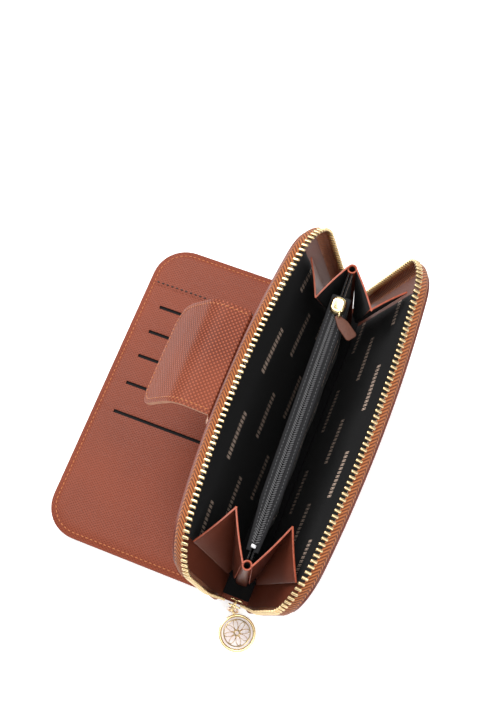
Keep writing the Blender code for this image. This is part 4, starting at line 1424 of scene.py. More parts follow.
@dataclass
class Gusset:
    """The folded leather that closes one end: four leaves round two folds, and a rolled middle."""

    end: str
    place: float
    angle: float
    looks: Looks
    edge_height: float = 0.0825
    fold_drop: float = 0.0035
    foot: float = 0.0120
    thickness: float = 0.0010
    roll: float = 0.0027

    def build(self) -> None:
        """Make the leaves and the middle."""
        for side in (LEFT, RIGHT):
            frames = {kind: self.leaf_frame(side, kind) for kind in ("cover", "middle")}
            facing = {}
            for kind, other in (("cover", "middle"), ("middle", "cover")):
                normal = frames[kind].col[1].to_3d()
                beside = frames[other].col[2].to_3d() - frames[kind].col[2].to_3d()
                facing[kind] = -1.0 if normal.dot(beside) > 0 else 1.0
            first = frames["cover"].col[1].to_3d() * facing["cover"]
            second = frames["middle"].col[1].to_3d() * facing["middle"]
            wrap = first.angle(second) / 2
            for kind in ("cover", "middle"):
                name = f"gusset_{self.end}_{side.name}_{kind}_leaf"
                made = self.leaf(name, frames[kind], facing[kind], wrap, kind)
                attach(made, name, "gusset_leather", name)
        attach(self.middle(), "spine", "gusset_leather", f"gusset_{self.end}_middle")

    def leaf_frame(self, side: Side, kind: str) -> Matrix:
        """A leaf's frame: Z up its sewn line, X in the leaf towards the fold.

        Args:
            side: the cover.
            kind: "cover" or "middle".

        Returns:
            The frame.
        """
        name = f"gusset_{self.end}_{side.name}"
        corner, axis = joint(f"{name}_{kind}_leaf_fold")
        lines = []
        for each in ("cover", "middle"):
            _, line = joint(f"{name}_{each}_leaf_fold")
            lines.append(line if line.z > 0 else -line)
        hinge = axis if axis.z > 0 else -axis
        middle = (lines[0] + lines[1]).normalized()
        inwards = Vector((0, -math.copysign(1, self.place), 0))
        inwards = (inwards - inwards.dot(middle) * middle).normalized()
        up_share = math.cos(self.angle) / math.cos(lines[0].angle(lines[1]) / 2)
        fold = (up_share * middle + math.sqrt(1 - up_share**2) * inwards).normalized()
        across = (fold - fold.dot(hinge) * hinge).normalized()
        return axes(corner, across, hinge.cross(across), hinge)

    def leaf(self, name: str, matrix: Matrix, facing: float, wrap: float, kind: str) -> Made:
        """One leaf, with its half of the rounded fold and a painted top edge.

        Args:
            name: the leaf's body.
            matrix: its frame.
            facing: which way its lining faces.
            wrap: how far it turns round the fold.
            kind: "cover" or "middle".

        Returns:
            The finished piece.
        """
        middle = 0.0003 + self.thickness / 2
        start = 0.0010 if kind == "cover" else -0.0004
        flat = 0.78

        def place(u: float, v: float) -> Vector:
            """The point of the leaf."""
            height = self.foot + (self.edge_height - self.foot) * v
            reach = height * math.tan(self.angle)
            if u <= flat:
                share = u / flat
                across = start + (reach - start) * share
                bulge = -0.0007 * math.sin(math.pi * share) * math.sin(math.pi * min(v + 0.15, 1.0) * 0.8)
                normal = facing * (middle + bulge)
            else:
                turn = (wrap + 0.03) * (u - flat) / (1 - flat)
                across = reach + middle * math.sin(turn)
                normal = facing * middle * math.cos(turn)
            drop = self.fold_drop * (across / reach) * v
            return matrix @ Vector((across, normal, height - drop))

        body = sheet(36, 34, place, lambda u, v: (u * 0.028, v * 0.075))
        if (body.faces[:][0].normal.dot(matrix.col[1].to_3d()) > 0) == (facing > 0):
            bmesh.ops.reverse_faces(body, faces=body.faces)
        return piece(
            name.replace("_leaf", "_fold"),
            body,
            (self.looks.gusset, self.looks.plain, self.looks.paint),
            Wall(self.thickness - 0.1 * MM, back=1, rim=2),
        )

    def middle(self) -> Made:
        """The gusset's middle: a flat foot that rolls into an open tube with a painted rim.

        Returns:
            The finished piece.
        """
        body = bmesh.new()
        sides, levels, low, high = 28, 14, 0.0023, 0.0840
        flat_half, thin = 0.0035, 0.0009

        bmesh.ops.create_circle(body, cap_ends=True, segments=sides, radius=1.0)
        turns = body.verts.layers.float.new("turn")
        for vert in body.verts:
            vert[turns] = math.atan2(vert.co.y, vert.co.x)

        def shape(vert: bmesh.types.BMVert, share: float, shrink: float, height: float) -> None:
            """Move a vertex to its place on a ring."""
            turn = vert[turns]
            ease = smoothstep(share)
            half = (flat_half * (1 - ease) + self.roll * ease) * shrink
            depth = (thin + (self.roll - thin) * ease) * shrink
            pinch = 1 - 0.10 * math.sin(3 * turn + 1.0) * math.sin(math.pi * share)
            vert.co = Vector((half * math.cos(turn) * pinch, depth * math.sin(turn) * pinch, height))

        rings = [(level / levels, 1.0, low + (high - low) * level / levels) for level in range(levels + 1)]
        rings += [(1.0, 0.90, high + 0.0002), (1.0, 0.70, high)]
        rings += [(1.0, 0.62, high - 0.0010), (1.0, 0.56, high - 0.0150)]
        loop = list(body.edges)
        for vert in body.verts:
            shape(vert, *rings[0])
        for ring in rings[1:]:
            raised = bmesh.ops.extrude_edge_only(body, edges=loop)["geom"]
            loop = [item for item in raised if isinstance(item, bmesh.types.BMEdge)]
            for vert in {vert for edge in loop for vert in edge.verts}:
                shape(vert, *ring)
        bmesh.ops.holes_fill(body, edges=loop)
        bmesh.ops.recalc_face_normals(body, faces=body.faces)
        for vert in body.verts:
            vert.co += Vector((divider_x(self.place, vert.co.z), self.place, 0))
        chart_flat(body, 0, 2)
        for face in body.faces:
            middle = face.calc_center_median()
            centre = Vector((divider_x(self.place, middle.z), self.place))
            radius = (middle.to_2d() - centre).length
            if middle.z > high - 0.0007:
                face.material_index = 1
            elif radius < 0.66 * self.roll and middle.z > high - 0.017:
                face.material_index = 2
        return piece(
            f"gusset_{self.end}_roll", body, (self.looks.gusset, self.looks.paint, self.looks.plain), sharp=60
        )


# ---------------------------------------------------------------- card flap


@dataclass
class CardFlap:
    """The card flap: a back, a slotted front that is sewn to it round the edge, and its hinge."""

    looks: Looks
    root: float = -0.0136
    outer: float = -0.1192
    half: float = 0.0930
    corner: float = 0.0200
    back_top: float = 0.00090
    front_top: float = 0.00380
    edge_top: float = 0.00205
    front_thick: float = 0.00085
    seam: float = 0.0660
    slots: tuple[float, ...] = (0.0530, 0.0365, 0.0205, 0.0027, -0.0158)
    slot_start: float = 0.0125
    slot_length: float = 0.0880
    slot_width: float = 0.0019
    stitch_inset: float = 0.0030
    hinge_thick: float = 0.0010

    def build(self) -> None:
        """Make the flap."""
        attach(self.back(), "flap", "leather", "flap_leather")
        attach(self.front(None, self.seam - 0.0002, "card_front"), "flap", "leather", "card_panel")
        attach(self.front(self.seam - 0.0004, None, "flap_top_band"), "flap", "leather", "flap_top_strip")
        attach(self.edge_stitches(), "flap", "leather")
        attach(self.seam_stitches(), "flap", "leather")
        self.hinge()
        dress("flap_board", self.looks.board)
        dress("flap_pocket_fabric", self.looks.plain)
        dress("flap_magnet", self.looks.foil)

    def rise(self, x: float, y: float) -> float:
        """How high the front stands: it comes down to the back at its sewn edges.

        Args:
            x: the place across the flap.
            y: the place along the flap.

        Returns:
            The height.
        """
        into_x = x - self.outer
        into_y = self.half - abs(y)
        near_x, near_y = self.corner - into_x, self.corner - into_y
        if near_x > 0 and near_y > 0:
            depth = self.corner - math.hypot(near_x, near_y)
        else:
            depth = min(into_x, into_y)
        crown = 0.00018 * math.sin(math.pi * min(max((x - self.outer) / 0.105, 0.0), 1.0))
        return self.edge_top + (self.front_top - 0.00025 - self.edge_top) * smoothstep(depth / 0.0052) + crown

    def outline(self, low: Optional[float], high: Optional[float]) -> list[tuple[float, float]]:
        """The flap in plan, or its part between two cuts across it.

        Args:
            low: a cut, or None for the flap's edge.
            high: a cut, or None for the flap's edge.

        Returns:
            The outline.
        """
        radii = {}
        if high is None:
            radii["-+"] = self.corner
        if low is None:
            radii["--"] = self.corner
        y_low = -self.half if low is None else low
        y_high = self.half if high is None else high
        return rounded_box(self.outer, self.root, y_low, y_high, radii, 12)

    def back(self) -> Made:
        """The leather that lies on the table."""
        body = outline_body(self.outline(None, None), 0.0, self.back_top)
        round_edges(body, 0.00025, 2)
        chart_flat(body, 1, 0)
        return piece("flap_back", body, (self.looks.leather,))

    def front(self, low: Optional[float], high: Optional[float], name: str) -> Made:
        """A part of the front, crowned, with its card slots cut through.

        Args:
            low: a cut below it, or None for the flap's own edge.
            high: a cut above it, or None.
            name: the piece's name.

        Returns:
            The finished piece.
        """
        body = bmesh.new()
        body.faces.new([body.verts.new((x, y, 0)) for x, y in self.outline(low, high)])
        start = self.outer + self.slot_start
        cuts = [(1, slot + sign * self.slot_width / 2) for slot in self.slots for sign in (-1, 1)]
        cuts = cuts if low is None else []
        if cuts:
            cuts += [(0, start), (0, start + self.slot_length)]
        x = self.outer + 0.0008
        while x < self.root:
            cuts.append((0, x))
            x += 0.0011 if x < self.outer + 0.0060 else 0.0045
        y = self.half
        while y > -self.half:
            cuts.append((1, y))
            y -= 0.0011 if abs(y) > self.half - 0.0060 else 0.0045
        for axis, value in cuts:
            point, normal = [0.0, 0.0, 0.0], [0.0, 0.0, 0.0]
            point[axis], normal[axis] = value, 1.0
            geometry = body.verts[:] + body.edges[:] + body.faces[:]
            bmesh.ops.bisect_plane(body, geom=geometry, dist=1e-7, plane_co=point, plane_no=normal)
        if low is None:
            gone = []
            for face in body.faces:
                middle = face.calc_center_median()
                in_slot = any(abs(middle.y - slot) < self.slot_width / 2 for slot in self.slots)
                if in_slot and start < middle.x < start + self.slot_length:
                    gone.append(face)
            bmesh.ops.delete(body, geom=gone, context="FACES")
        bmesh.ops.remove_doubles(body, verts=body.verts, dist=2e-6)
        for vert in body.verts:
            vert.co.z = self.rise(vert.co.x, vert.co.y) - self.front_thick / 2 + self.slot_lift(vert.co, low)
        bmesh.ops.recalc_face_normals(body, faces=body.faces)
        chart_flat(body, 1, 0)
        if sum(face.normal.z for face in body.faces) < 0:
            bmesh.ops.reverse_faces(body, faces=body.faces)
        wall = Wall(self.front_thick, 0.00022, rim=1)
        return piece(name, body, (self.looks.leather, self.looks.dark_paint), wall, sharp=50)

    def slot_lift(self, point: Vector, low: Optional[float]) -> float:
        """The lower lip of each slot sinks a little and its upper lip stands up.

        Args:
            point: the point.
            low: the cut, which is None on the part with slots.

        Returns:
            The rise, or a sink below 0.
        """
        if low is not None:
            return 0.0
        lift = 0.0
        for slot in self.slots:
            away = point.y - slot
            if abs(away) < 0.0050:
                lift += 0.00016 * (1 - abs(away) / 0.0050) * (1 if away > 0 else -1)
        return lift

    def edge_line(self, inset: float) -> list[Vector]:
        """The line that runs inside the flap's edge, on its face.

        Args:
            inset: how far inside the edge.

        Returns:
            The line.
        """
        half, outer, radius = self.half - inset, self.outer + inset, self.corner - inset
        points = []
        steps = 12
        for share in range(41):
            points.append((self.root - (self.root - outer - radius) * share / 40, half))
        for step in range(1, steps + 1):
            turn = math.pi / 2 * (1 + step / steps)
            points.append((outer + radius + radius * math.cos(turn), half - radius + radius * math.sin(turn)))
        for share in range(1, 41):
            points.append((outer, half - radius - 2 * (half - radius) * share / 40))
        for step in range(1, steps + 1):
            turn = math.pi / 2 * (2 + step / steps)
            x, y = outer + radius + radius * math.cos(turn), -half + radius + radius * math.sin(turn)
            points.append((x, y))
        for share in range(1, 41):
            points.append((outer + radius + (self.root - outer - radius) * share / 40, -half))
        return [Vector((x, y, self.rise(x, y) + 0.00006)) for x, y in points]

    def edge_stitches(self) -> Made:
        """The orange sewn line round the edge."""
        body = bmesh.new()
        Stitching().sew(body, self.edge_line(self.stitch_inset), lambda _: UP)
        return piece("flap_edge_stitches", body, (self.looks.thread,), outwards=True)

    def seam_stitches(self) -> Made:
        """The sewn line where the top band overlaps the card front.

        Returns:
            The finished piece.
        """
        body = bmesh.new()
        y = self.seam + 0.0016
        places = [self.outer + 0.004 * (step + 1) for step in range(26)]
        points = [Vector((x, y, self.rise(x, y) + 0.00006)) for x in places]
        Stitching(0.0019, 0.0030, 0.00060).sew(body, points, lambda _: UP)
        return piece("flap_seam_stitches", body, (self.looks.dark_thread,), outwards=True)

    def hinge(self) -> None:
        """The leather that runs from the flap up on to the left cover's foot."""
        low = self.root - 0.0004

        def place(u: float, v: float) -> Vector:
            """The point of the hinge leather."""
            along = (2 * u - 1) * (self.half - 0.0006)
            start = Vector((low, along, 0.0017))
            end = LEFT.on(along, 0.0090, -0.0007)
            knee = Vector((LEFT.on(along, 0.0012, -0.0007).x - 0.0004, along, 0.0016))
            return start.lerp(knee, v).lerp(knee.lerp(end, v), v)

        body = sheet(70, 12, place, lambda u, v: (u * 2 * self.half, v * 0.012))
        looks = (self.looks.leather, self.looks.dark_paint)
        made = piece("flap_hinge_leather", body, looks, Wall(self.hinge_thick, rim=1))
        pivot, _ = joint("flap_fold")
        top = LEFT.on(0.0, 0.0060, -0.0007)
        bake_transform(made)


# ---------------------------------------------------------------- strap tab


@dataclass
class StrapTab:
    """The embossed strap that rises off the left cover's rim and folds down over the flap."""

    looks: Looks
    width: float = 0.0585
    centre: float = 0.0036
    thick: float = 0.0025
    mid: float = 0.00135
    root_length: float = 0.0173
    tip_length: float = 0.0430
    corner: float = 0.0120
    rise: float = math.radians(8.0)
    fall: float = math.radians(56.5)
    emboss: float = 0.0024
    emboss_depth: float = 0.00026
    stitch_inset: float = 0.0026
    cell: float = 0.0004
    ease: float = 0.0070
    anchor: float = 0.0200
    bend: float = 0.0052
    anchor_top: float = 0.0972
    anchor_depth: float = -0.0009
    sewing: Stitching = Stitching(0.0019, 0.0027, 0.00026)

    def __post_init__(self) -> None:
        """Read the two fold lines from the frame, and work out what follows from them."""
        self.rim, _ = joint("tab_lift")
        self.ridge, _ = joint("tab_fold")
        self.out = Vector((-math.cos(self.rise), 0, math.sin(self.rise)))
        self.out_normal = Vector((math.sin(self.rise), 0, math.cos(self.rise)))
        self.down = Vector((-math.cos(self.fall), 0, -math.sin(self.fall)))
        self.down_normal = Vector((-math.sin(self.fall), 0, math.cos(self.fall)))
        self.arc = (self.rise + self.fall) * self.mid
        self.half_root = self.root_length / 2
        self.end = self.root_length + self.arc + self.tip_length - 0.0003
        below, beyond = self.out * 0.0010 + UP * 0.0020, self.out * 0.0030 + UP * 0.0005
        self.rim_span = (self.rim - below, self.rim + beyond)
        self.ridge_span = (self.ridge - self.out * 0.0022, self.ridge + self.out * 0.0016)

    def build(self) -> None:
        """Make the strap in two lengths that meet where both follow the strap's root."""
        root = self.strap("tab_root_strap", -(self.anchor + self.bend), self.half_root)
        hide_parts("tab_anchor", "tab_root_leather", "tab_root_lining")
        tip = self.strap("tab_tip_strap", self.half_root, self.end)
        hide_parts("tab_tip_leather", "tab_tip_lining")
        root_stitches = self.stitches("tab_root_stitches", (0.0010, self.half_root))
        tip_stitches = self.stitches("tab_tip_stitches", (self.half_root, None))
        for made in (root, root_stitches):
            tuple(self.rim_span[0])
            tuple(self.rim_span[1])
            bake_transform(made)
        for made in (tip, tip_stitches):
            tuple(self.ridge_span[0])
            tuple(self.ridge_span[1])
            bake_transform(made)
        dress("tab_magnet", self.looks.foil)

    def spot(self, reach: float, along: float, height: float) -> tuple[Vector, Vector]:
        """A point of the strap and its face's direction.

        Args:
            reach: the distance along the strap from the rim.
            along: the place across it, from its centre.
            height: how far it stands out of the strap's middle.

        Returns:
            The point, and the face's direction.
        """
        if reach <= 0:
            return self.root_spot(reach, along, height)
        start, end = self.root_length - self.ease, self.root_length + self.arc + self.ease
        if reach <= start:
            base, normal = self.rim + self.out * reach, self.out_normal
        elif reach < end:
            share = (reach - start) / (end - start)
            first, last = self.ridge - self.out * self.ease, self.ridge + self.down * self.ease
            normal = self.out_normal.lerp(self.down_normal, share).normalized()
            base = first.lerp(self.ridge, share).lerp(self.ridge.lerp(last, share), share)
        else:
            base = self.ridge + self.down * (reach - self.root_length - self.arc)
            normal = self.down_normal
        point = base + normal * (self.mid + height)
        sag = 0.0
        if reach > self.root_length + self.arc:
            share = (reach - self.root_length - self.arc) / self.tip_length
            sag = 0.0009 * math.sin(math.pi * min(share, 1.0))
        point += normal * sag
        return point + Vector((0, along + self.centre, 0)), normal

    def root_spot(self, reach: float, along: float, height: float) -> tuple[Vector, Vector]:
        """The stretch below the rim: round the bend and down the cover's outer face.

        Args:
            reach: the distance along the strap from the rim.
            along: the place across the strap.
            height: how far out of the middle.

        Returns:
            The point, and the face's direction.
        """
        side = LEFT.outward()
        if reach < -self.bend:
            up = self.anchor_top + reach + self.bend
            point = LEFT.on(along + self.centre, up, self.anchor_depth)
            return point - side * height, -side
        share = (reach + self.bend) / self.bend
        low = LEFT.on(along + self.centre, self.anchor_top, self.anchor_depth)
        high = self.rim + self.out_normal * self.mid + Vector((0, along + self.centre, 0))
        below = LEFT.on(along + self.centre, self.anchor_top - 0.0040, self.anchor_depth)
        knee = low + (low - below).normalized() * 0.0040
        point = low.lerp(knee, share).lerp(knee.lerp(high, share), share)
        normal = (-side).lerp(self.out_normal, share).normalized()
        return point + normal * height, normal

    def relief(self, reach: float, along: float) -> float:
        """The pressed pattern's height: small pillows between crossing grooves."""
        first = math.sin(math.pi * (reach + along) / self.emboss)
        second = math.sin(math.pi * (reach - along) / self.emboss)
        return self.emboss_depth * math.sqrt(abs(first * second))

    def half_width(self, reach: float) -> float:
        """Half the strap's width, which rounds off at the tip."""
        into = reach - (self.end - self.corner)
        if into <= 0:
            return self.width / 2
        return self.width / 2 - self.corner + math.sqrt(max(self.corner**2 - into**2, 0.0))

    def strap(self, name: str, first: float, last: float) -> Made:
        """A length of the strap, embossed outside, smooth inside, with painted edges.

        Args:
            name: the piece's name.
            first: where it starts.
            last: where it ends.

        Returns:
            The finished piece.
        """
        columns = round((last - first) / self.cell)
        rows = round(self.width / self.cell)

        def local(u: float, v: float) -> tuple[float, float]:
            """Where a pair of shares lies on the strap."""
            if last < self.end:
                reach = first + (last - first) * u
            else:
                reach = first + (last - first) * (1 - (1 - u) ** 1.15)
            return reach, (2 * v - 1) * self.half_width(reach)

        def outer(u: float, v: float) -> Vector:
            """The point of the embossed face."""
            reach, along = local(u, v)
            end = self.root_length + self.arc + self.tip_length
            margin = min((self.half_width(reach) - abs(along)) / 0.0012, (end - reach) / 0.0012, 1.0)
            lift = self.relief(reach, along) * max(margin, 0.0) - self.emboss_depth
            return self.spot(reach, along, self.thick / 2 + lift)[0]

        def inner(u: float, v: float) -> Vector:
            """The point of the smooth face."""
            return self.spot(*local(u, v), -self.thick / 2)[0]

        body = sheet(columns, rows, outer, local)
        lining = sheet(columns, rows, inner, local)
        bmesh.ops.reverse_faces(lining, faces=lining.faces)
        for face in lining.faces:
            face.material_index = 2
        merge(body, lining)
        loops = [edge for edge in body.edges if edge.is_boundary]
        for face in bmesh.ops.bridge_loops(body, edges=loops)["faces"]:
            face.material_index = 1
        bmesh.ops.recalc_face_normals(body, faces=body.faces)
        return piece(name, body, (self.looks.tab, self.looks.pale_paint, self.looks.leather), sharp=50)

    def stitches(self, name: str, span: tuple[float, Optional[float]]) -> Made:
        """The sewn line inside the strap's edges, over one length of it.

        Args:
            name: the piece's name.
            span: where it starts and ends, or None for the tip.

        Returns:
            The finished piece.
        """
        body = bmesh.new()
        low, high = span
        end, inset = self.end, self.stitch_inset
        top = end - inset if high is None else high
        for sign in (-1, 1):
            steps = 60
            points, facings = [], []
            for step in range(steps + 1):
                reach = low + (top - low) * step / steps
                along = sign * (self.half_width(min(reach + inset * 0.6, end)) - inset * 0.9)
                point, normal = self.spot(reach, along, self.thick / 2 + 0.00002)
                points.append(point)
                facings.append(normal)

            def facing(point: Vector, spots: list = points, normals: list = facings) -> Vector:
                """The face's direction at the nearest point of the line."""
                nearest = min(range(len(spots)), key=lambda index: (spots[index] - point).length_squared)
                return normals[nearest]

            self.sewing.sew(body, points, facing)
        if high is None:
            reach = end - inset
            half = self.half_width(reach + inset * 0.6) - inset * 0.9
            line = [self.spot(reach, -half + 2 * half * step / 20, self.thick / 2)[0] for step in range(21)]
            self.sewing.sew(body, line, lambda _: self.down_normal)
        return piece(name, body, (self.looks.thread,), outwards=True)


# ---------------------------------------------------------------- main slider, link and charm


@dataclass
class MainSlider:
    """The zip's slider with its crown, the link on it, and the round charm."""

    looks: Looks
    height: float = 0.0068
    width: float = 0.0074
    plate: float = 0.0009
    channel: float = 0.0013
    crown_radius: float = 0.0024
    crown_wire: float = 0.00052
    crown_drop: float = 0.0010
    link_wire: float = 0.00058
    link_hang: float = 0.00105
    charm_radius: float = 0.01025
    charm_rim: float = 0.0016
    charm_thick: float = 0.0022
    lug_radius: float = 0.0017
    lug_wire: float = 0.0005
    lug_out: float = 0.0012
    centre: tuple[float, float] = (0.0080, -0.1077)

    def build(self) -> None:
        """Make the slider, the link and the charm."""
        attach(self.slider(), "zip_slider", "gold", "zip_slider_body")
        attach(self.link(), "pull_link", "gold", "pull_link")
        attach(self.ring(), "charm", "gold", "charm_ring")
        attach(self.face(), "charm", "pale_metal", "charm_face")
        attach(self.rosette(), "charm", "gold")

    def slider_frame(self) -> Matrix:
        """The slider's frame: Y out of its face, Z up the zip.

        Returns:
            The frame.
        """
        _, axis = joint("zip_slider_run")
        pivot, _ = joint("pull_link_swing")
        turn = RIGHT.matrix().to_3x3()
        third = -axis
        frame_here = frame_at(Vector((0, 0, 0)), turn @ Vector((1, 0, 0)), third)
        face = self.channel + self.plate
        hold = Vector((0, -(face + self.link_hang), -self.crown_drop))
        origin = pivot - frame_here.to_3x3() @ hold
        return Matrix.Translation(origin) @ frame_here

    def slider(self) -> Made:
        """Two waisted plates on a neck, with a crown on the front plate.

        Returns:
            The finished piece.
        """
        place = self.slider_frame()
        body = bmesh.new()
        half, tall = self.width / 2, self.height / 2
        plan = [
            (-half * 0.72, -tall),
            (half * 0.72, -tall),
            (half * 0.86, -tall * 0.2),
            (half, tall * 0.55),
            (half * 0.72, tall),
            (half * 0.22, tall * 0.80),
            (-half * 0.22, tall * 0.80),
            (-half * 0.72, tall),
            (-half, tall * 0.55),
            (-half * 0.86, -tall * 0.2),
        ]
        for low in (-(self.channel + self.plate), self.channel):
            plate = outline_body(plan, 0.0, self.plate)
            corners = [edge for edge in plate.edges if abs(edge.verts[0].co.z - edge.verts[1].co.z) > 1e-6]
            bevel(plate, corners, 0.0005, 2)
            round_edges(plate, 0.0003, 3)
            stand = QUARTER_X
            turned = Matrix.Translation((0, low + self.plate, 0)) @ stand
            bmesh.ops.transform(plate, matrix=turned, verts=plate.verts)
            merge(body, plate)
        neck = Matrix.Diagonal((0.0009, 2 * self.channel + 0.001, self.height * 0.6, 1.0))
        bmesh.ops.create_cube(body, size=1.0, matrix=neck)
        crown = Matrix.Translation((0, -(self.channel + self.plate) + 0.0001, -self.crown_drop))
        stand = crown @ QUARTER_Y
        wire_ring(body, self.crown_radius, self.crown_wire, stand, 28, 10)
        bmesh.ops.transform(body, matrix=place, verts=body.verts)
        return piece("zip_slider_shell", body, (self.looks.bright,), sharp=50, outwards=True)

    def link(self) -> Made:
        """The oval link between the crown and the charm's lug.

        Returns:
            The finished piece.
        """
        hold, level = joint("pull_link_swing")
        lug, _ = joint("charm_swing")
        upright = hold - lug
        place = frame_at((hold + lug) / 2, level, upright)
        body = bmesh.new()
        stand = place @ QUARTER_X
        wire_ring(body, upright.length / 2, self.link_wire, stand, 44, 12)
        return piece("pull_link_ring", body, (self.looks.rose,), outwards=True)

    def charm_frame(self) -> Matrix:
        """The charm's frame: origin at its centre on the table, Y towards the link."""
        lug, across = joint("charm_swing")
        level = Vector((across.x, across.y, 0)).normalized()
        return axes(Vector((*self.centre, 0.0)), level, UP.cross(level), UP)

    def ring(self) -> Made:
        """The charm's rim: a rounded band with a fine inner bead and a lug.

        Returns:
            The finished piece.
        """
        body = bmesh.new()
        outer, inner, lip = self.charm_radius, self.charm_radius - self.charm_rim, 0.0004
        profile = [(inner, lip * 1.5), (inner + lip, 0.0)]
        profile += [(outer - lip * 1.6, 0.0), (outer - lip * 0.4, lip * 0.5)]
        profile += [(outer, self.charm_thick * 0.36), (outer, self.charm_thick * 0.64)]
        profile += [(outer - lip * 0.4, self.charm_thick - lip * 0.5), (outer - lip * 1.6, self.charm_thick)]
        profile += [(inner + lip, self.charm_thick - 0.0001), (inner, self.charm_thick - lip * 1.5)]
        verts = [body.verts.new((radius, 0, height)) for radius, height in profile]
        edges = [body.edges.new(pair) for pair in zip(verts, verts[1:] + verts[:1])]
        bmesh.ops.spin(
            body, geom=verts + edges, cent=(0, 0, 0), axis=UP, angle=math.tau, steps=72, use_merge=True
        )
        height = self.lug_radius + self.lug_wire + 0.00015
        lug = Matrix.Translation((0, self.charm_radius + self.lug_out, height))
        stand = lug @ QUARTER_Y
        wire_ring(body, self.lug_radius, self.lug_wire, stand, 26, 10)
        bmesh.ops.transform(body, matrix=self.charm_frame(), verts=body.verts)
        return piece("charm_band", body, (self.looks.bright,), sharp=50, outwards=True)

    def face(self) -> Made:
        """The pearly disc inside the rim, a little domed.

        Returns:
            The finished piece.
        """
        body = bmesh.new()
        radius, low, high = self.charm_radius - self.charm_rim - 0.0002, 0.0005, 0.0016
        bmesh.ops.create_circle(body, cap_ends=True, segments=72, radius=radius)
        base = body.faces[:]
        raised = bmesh.ops.extrude_face_region(body, geom=base)["geom"]
        top = [item for item in raised if isinstance(item, bmesh.types.BMFace)]
        verts = [item for item in raised if isinstance(item, bmesh.types.BMVert)]
        bmesh.ops.translate(body, verts=verts, vec=(0, 0, high - low))
        for _ in range(4):
            bmesh.ops.inset_region(body, faces=top, thickness=radius / 5, depth=0.00004, use_even_offset=True)
        bmesh.ops.translate(body, verts=body.verts, vec=(0, 0, low))
        bmesh.ops.transform(body, matrix=self.charm_frame(), verts=body.verts)
        return piece("charm_inlay", body, (self.looks.pearl,), outwards=True)

    def rosette(self) -> Made:
        """A plain rosette of thin gold wires on the inlay: a ring and eight petals.

        Returns:
            The finished piece.
        """
        body = bmesh.new()
        high = 0.00172
        wire_ring(body, 0.0073, 0.00034, Matrix.Translation((0, 0, high)), 60, 6)
        wire_ring(body, 0.0013, 0.00026, Matrix.Translation((0, 0, high + 0.0001)), 24, 6)
        for petal in range(8):
            turn = Matrix.Rotation(math.tau * petal / 8, 4, "Z")
            moved = Matrix.Translation((0.0043, 0, high + 0.00005))
            stretch = turn @ moved @ Matrix.Diagonal((1.0, 0.42, 1.0, 1.0))
            start = len(body.verts)
            wire_ring(body, 0.0028, 0.00034, Matrix.Identity(4), 28, 6)
            body.verts.ensure_lookup_table()
            bmesh.ops.transform(body, matrix=stretch, verts=body.verts[start:])
        bmesh.ops.transform(body, matrix=self.charm_frame(), verts=body.verts)
        return piece("charm_rosette", body, (self.looks.gold,), outwards=True)


def merge(target: Body, other: Body) -> None:
    """Add one bmesh to another, which is used up.

    Args:
        target: the bmesh that grows.
        other: the bmesh that is added.
    """
    held = bpy.data.meshes.new("held")
    other.to_mesh(held)
    other.free()
    target.from_mesh(held)
    bpy.data.meshes.remove(held)


# ---------------------------------------------------------------- coin zip slider


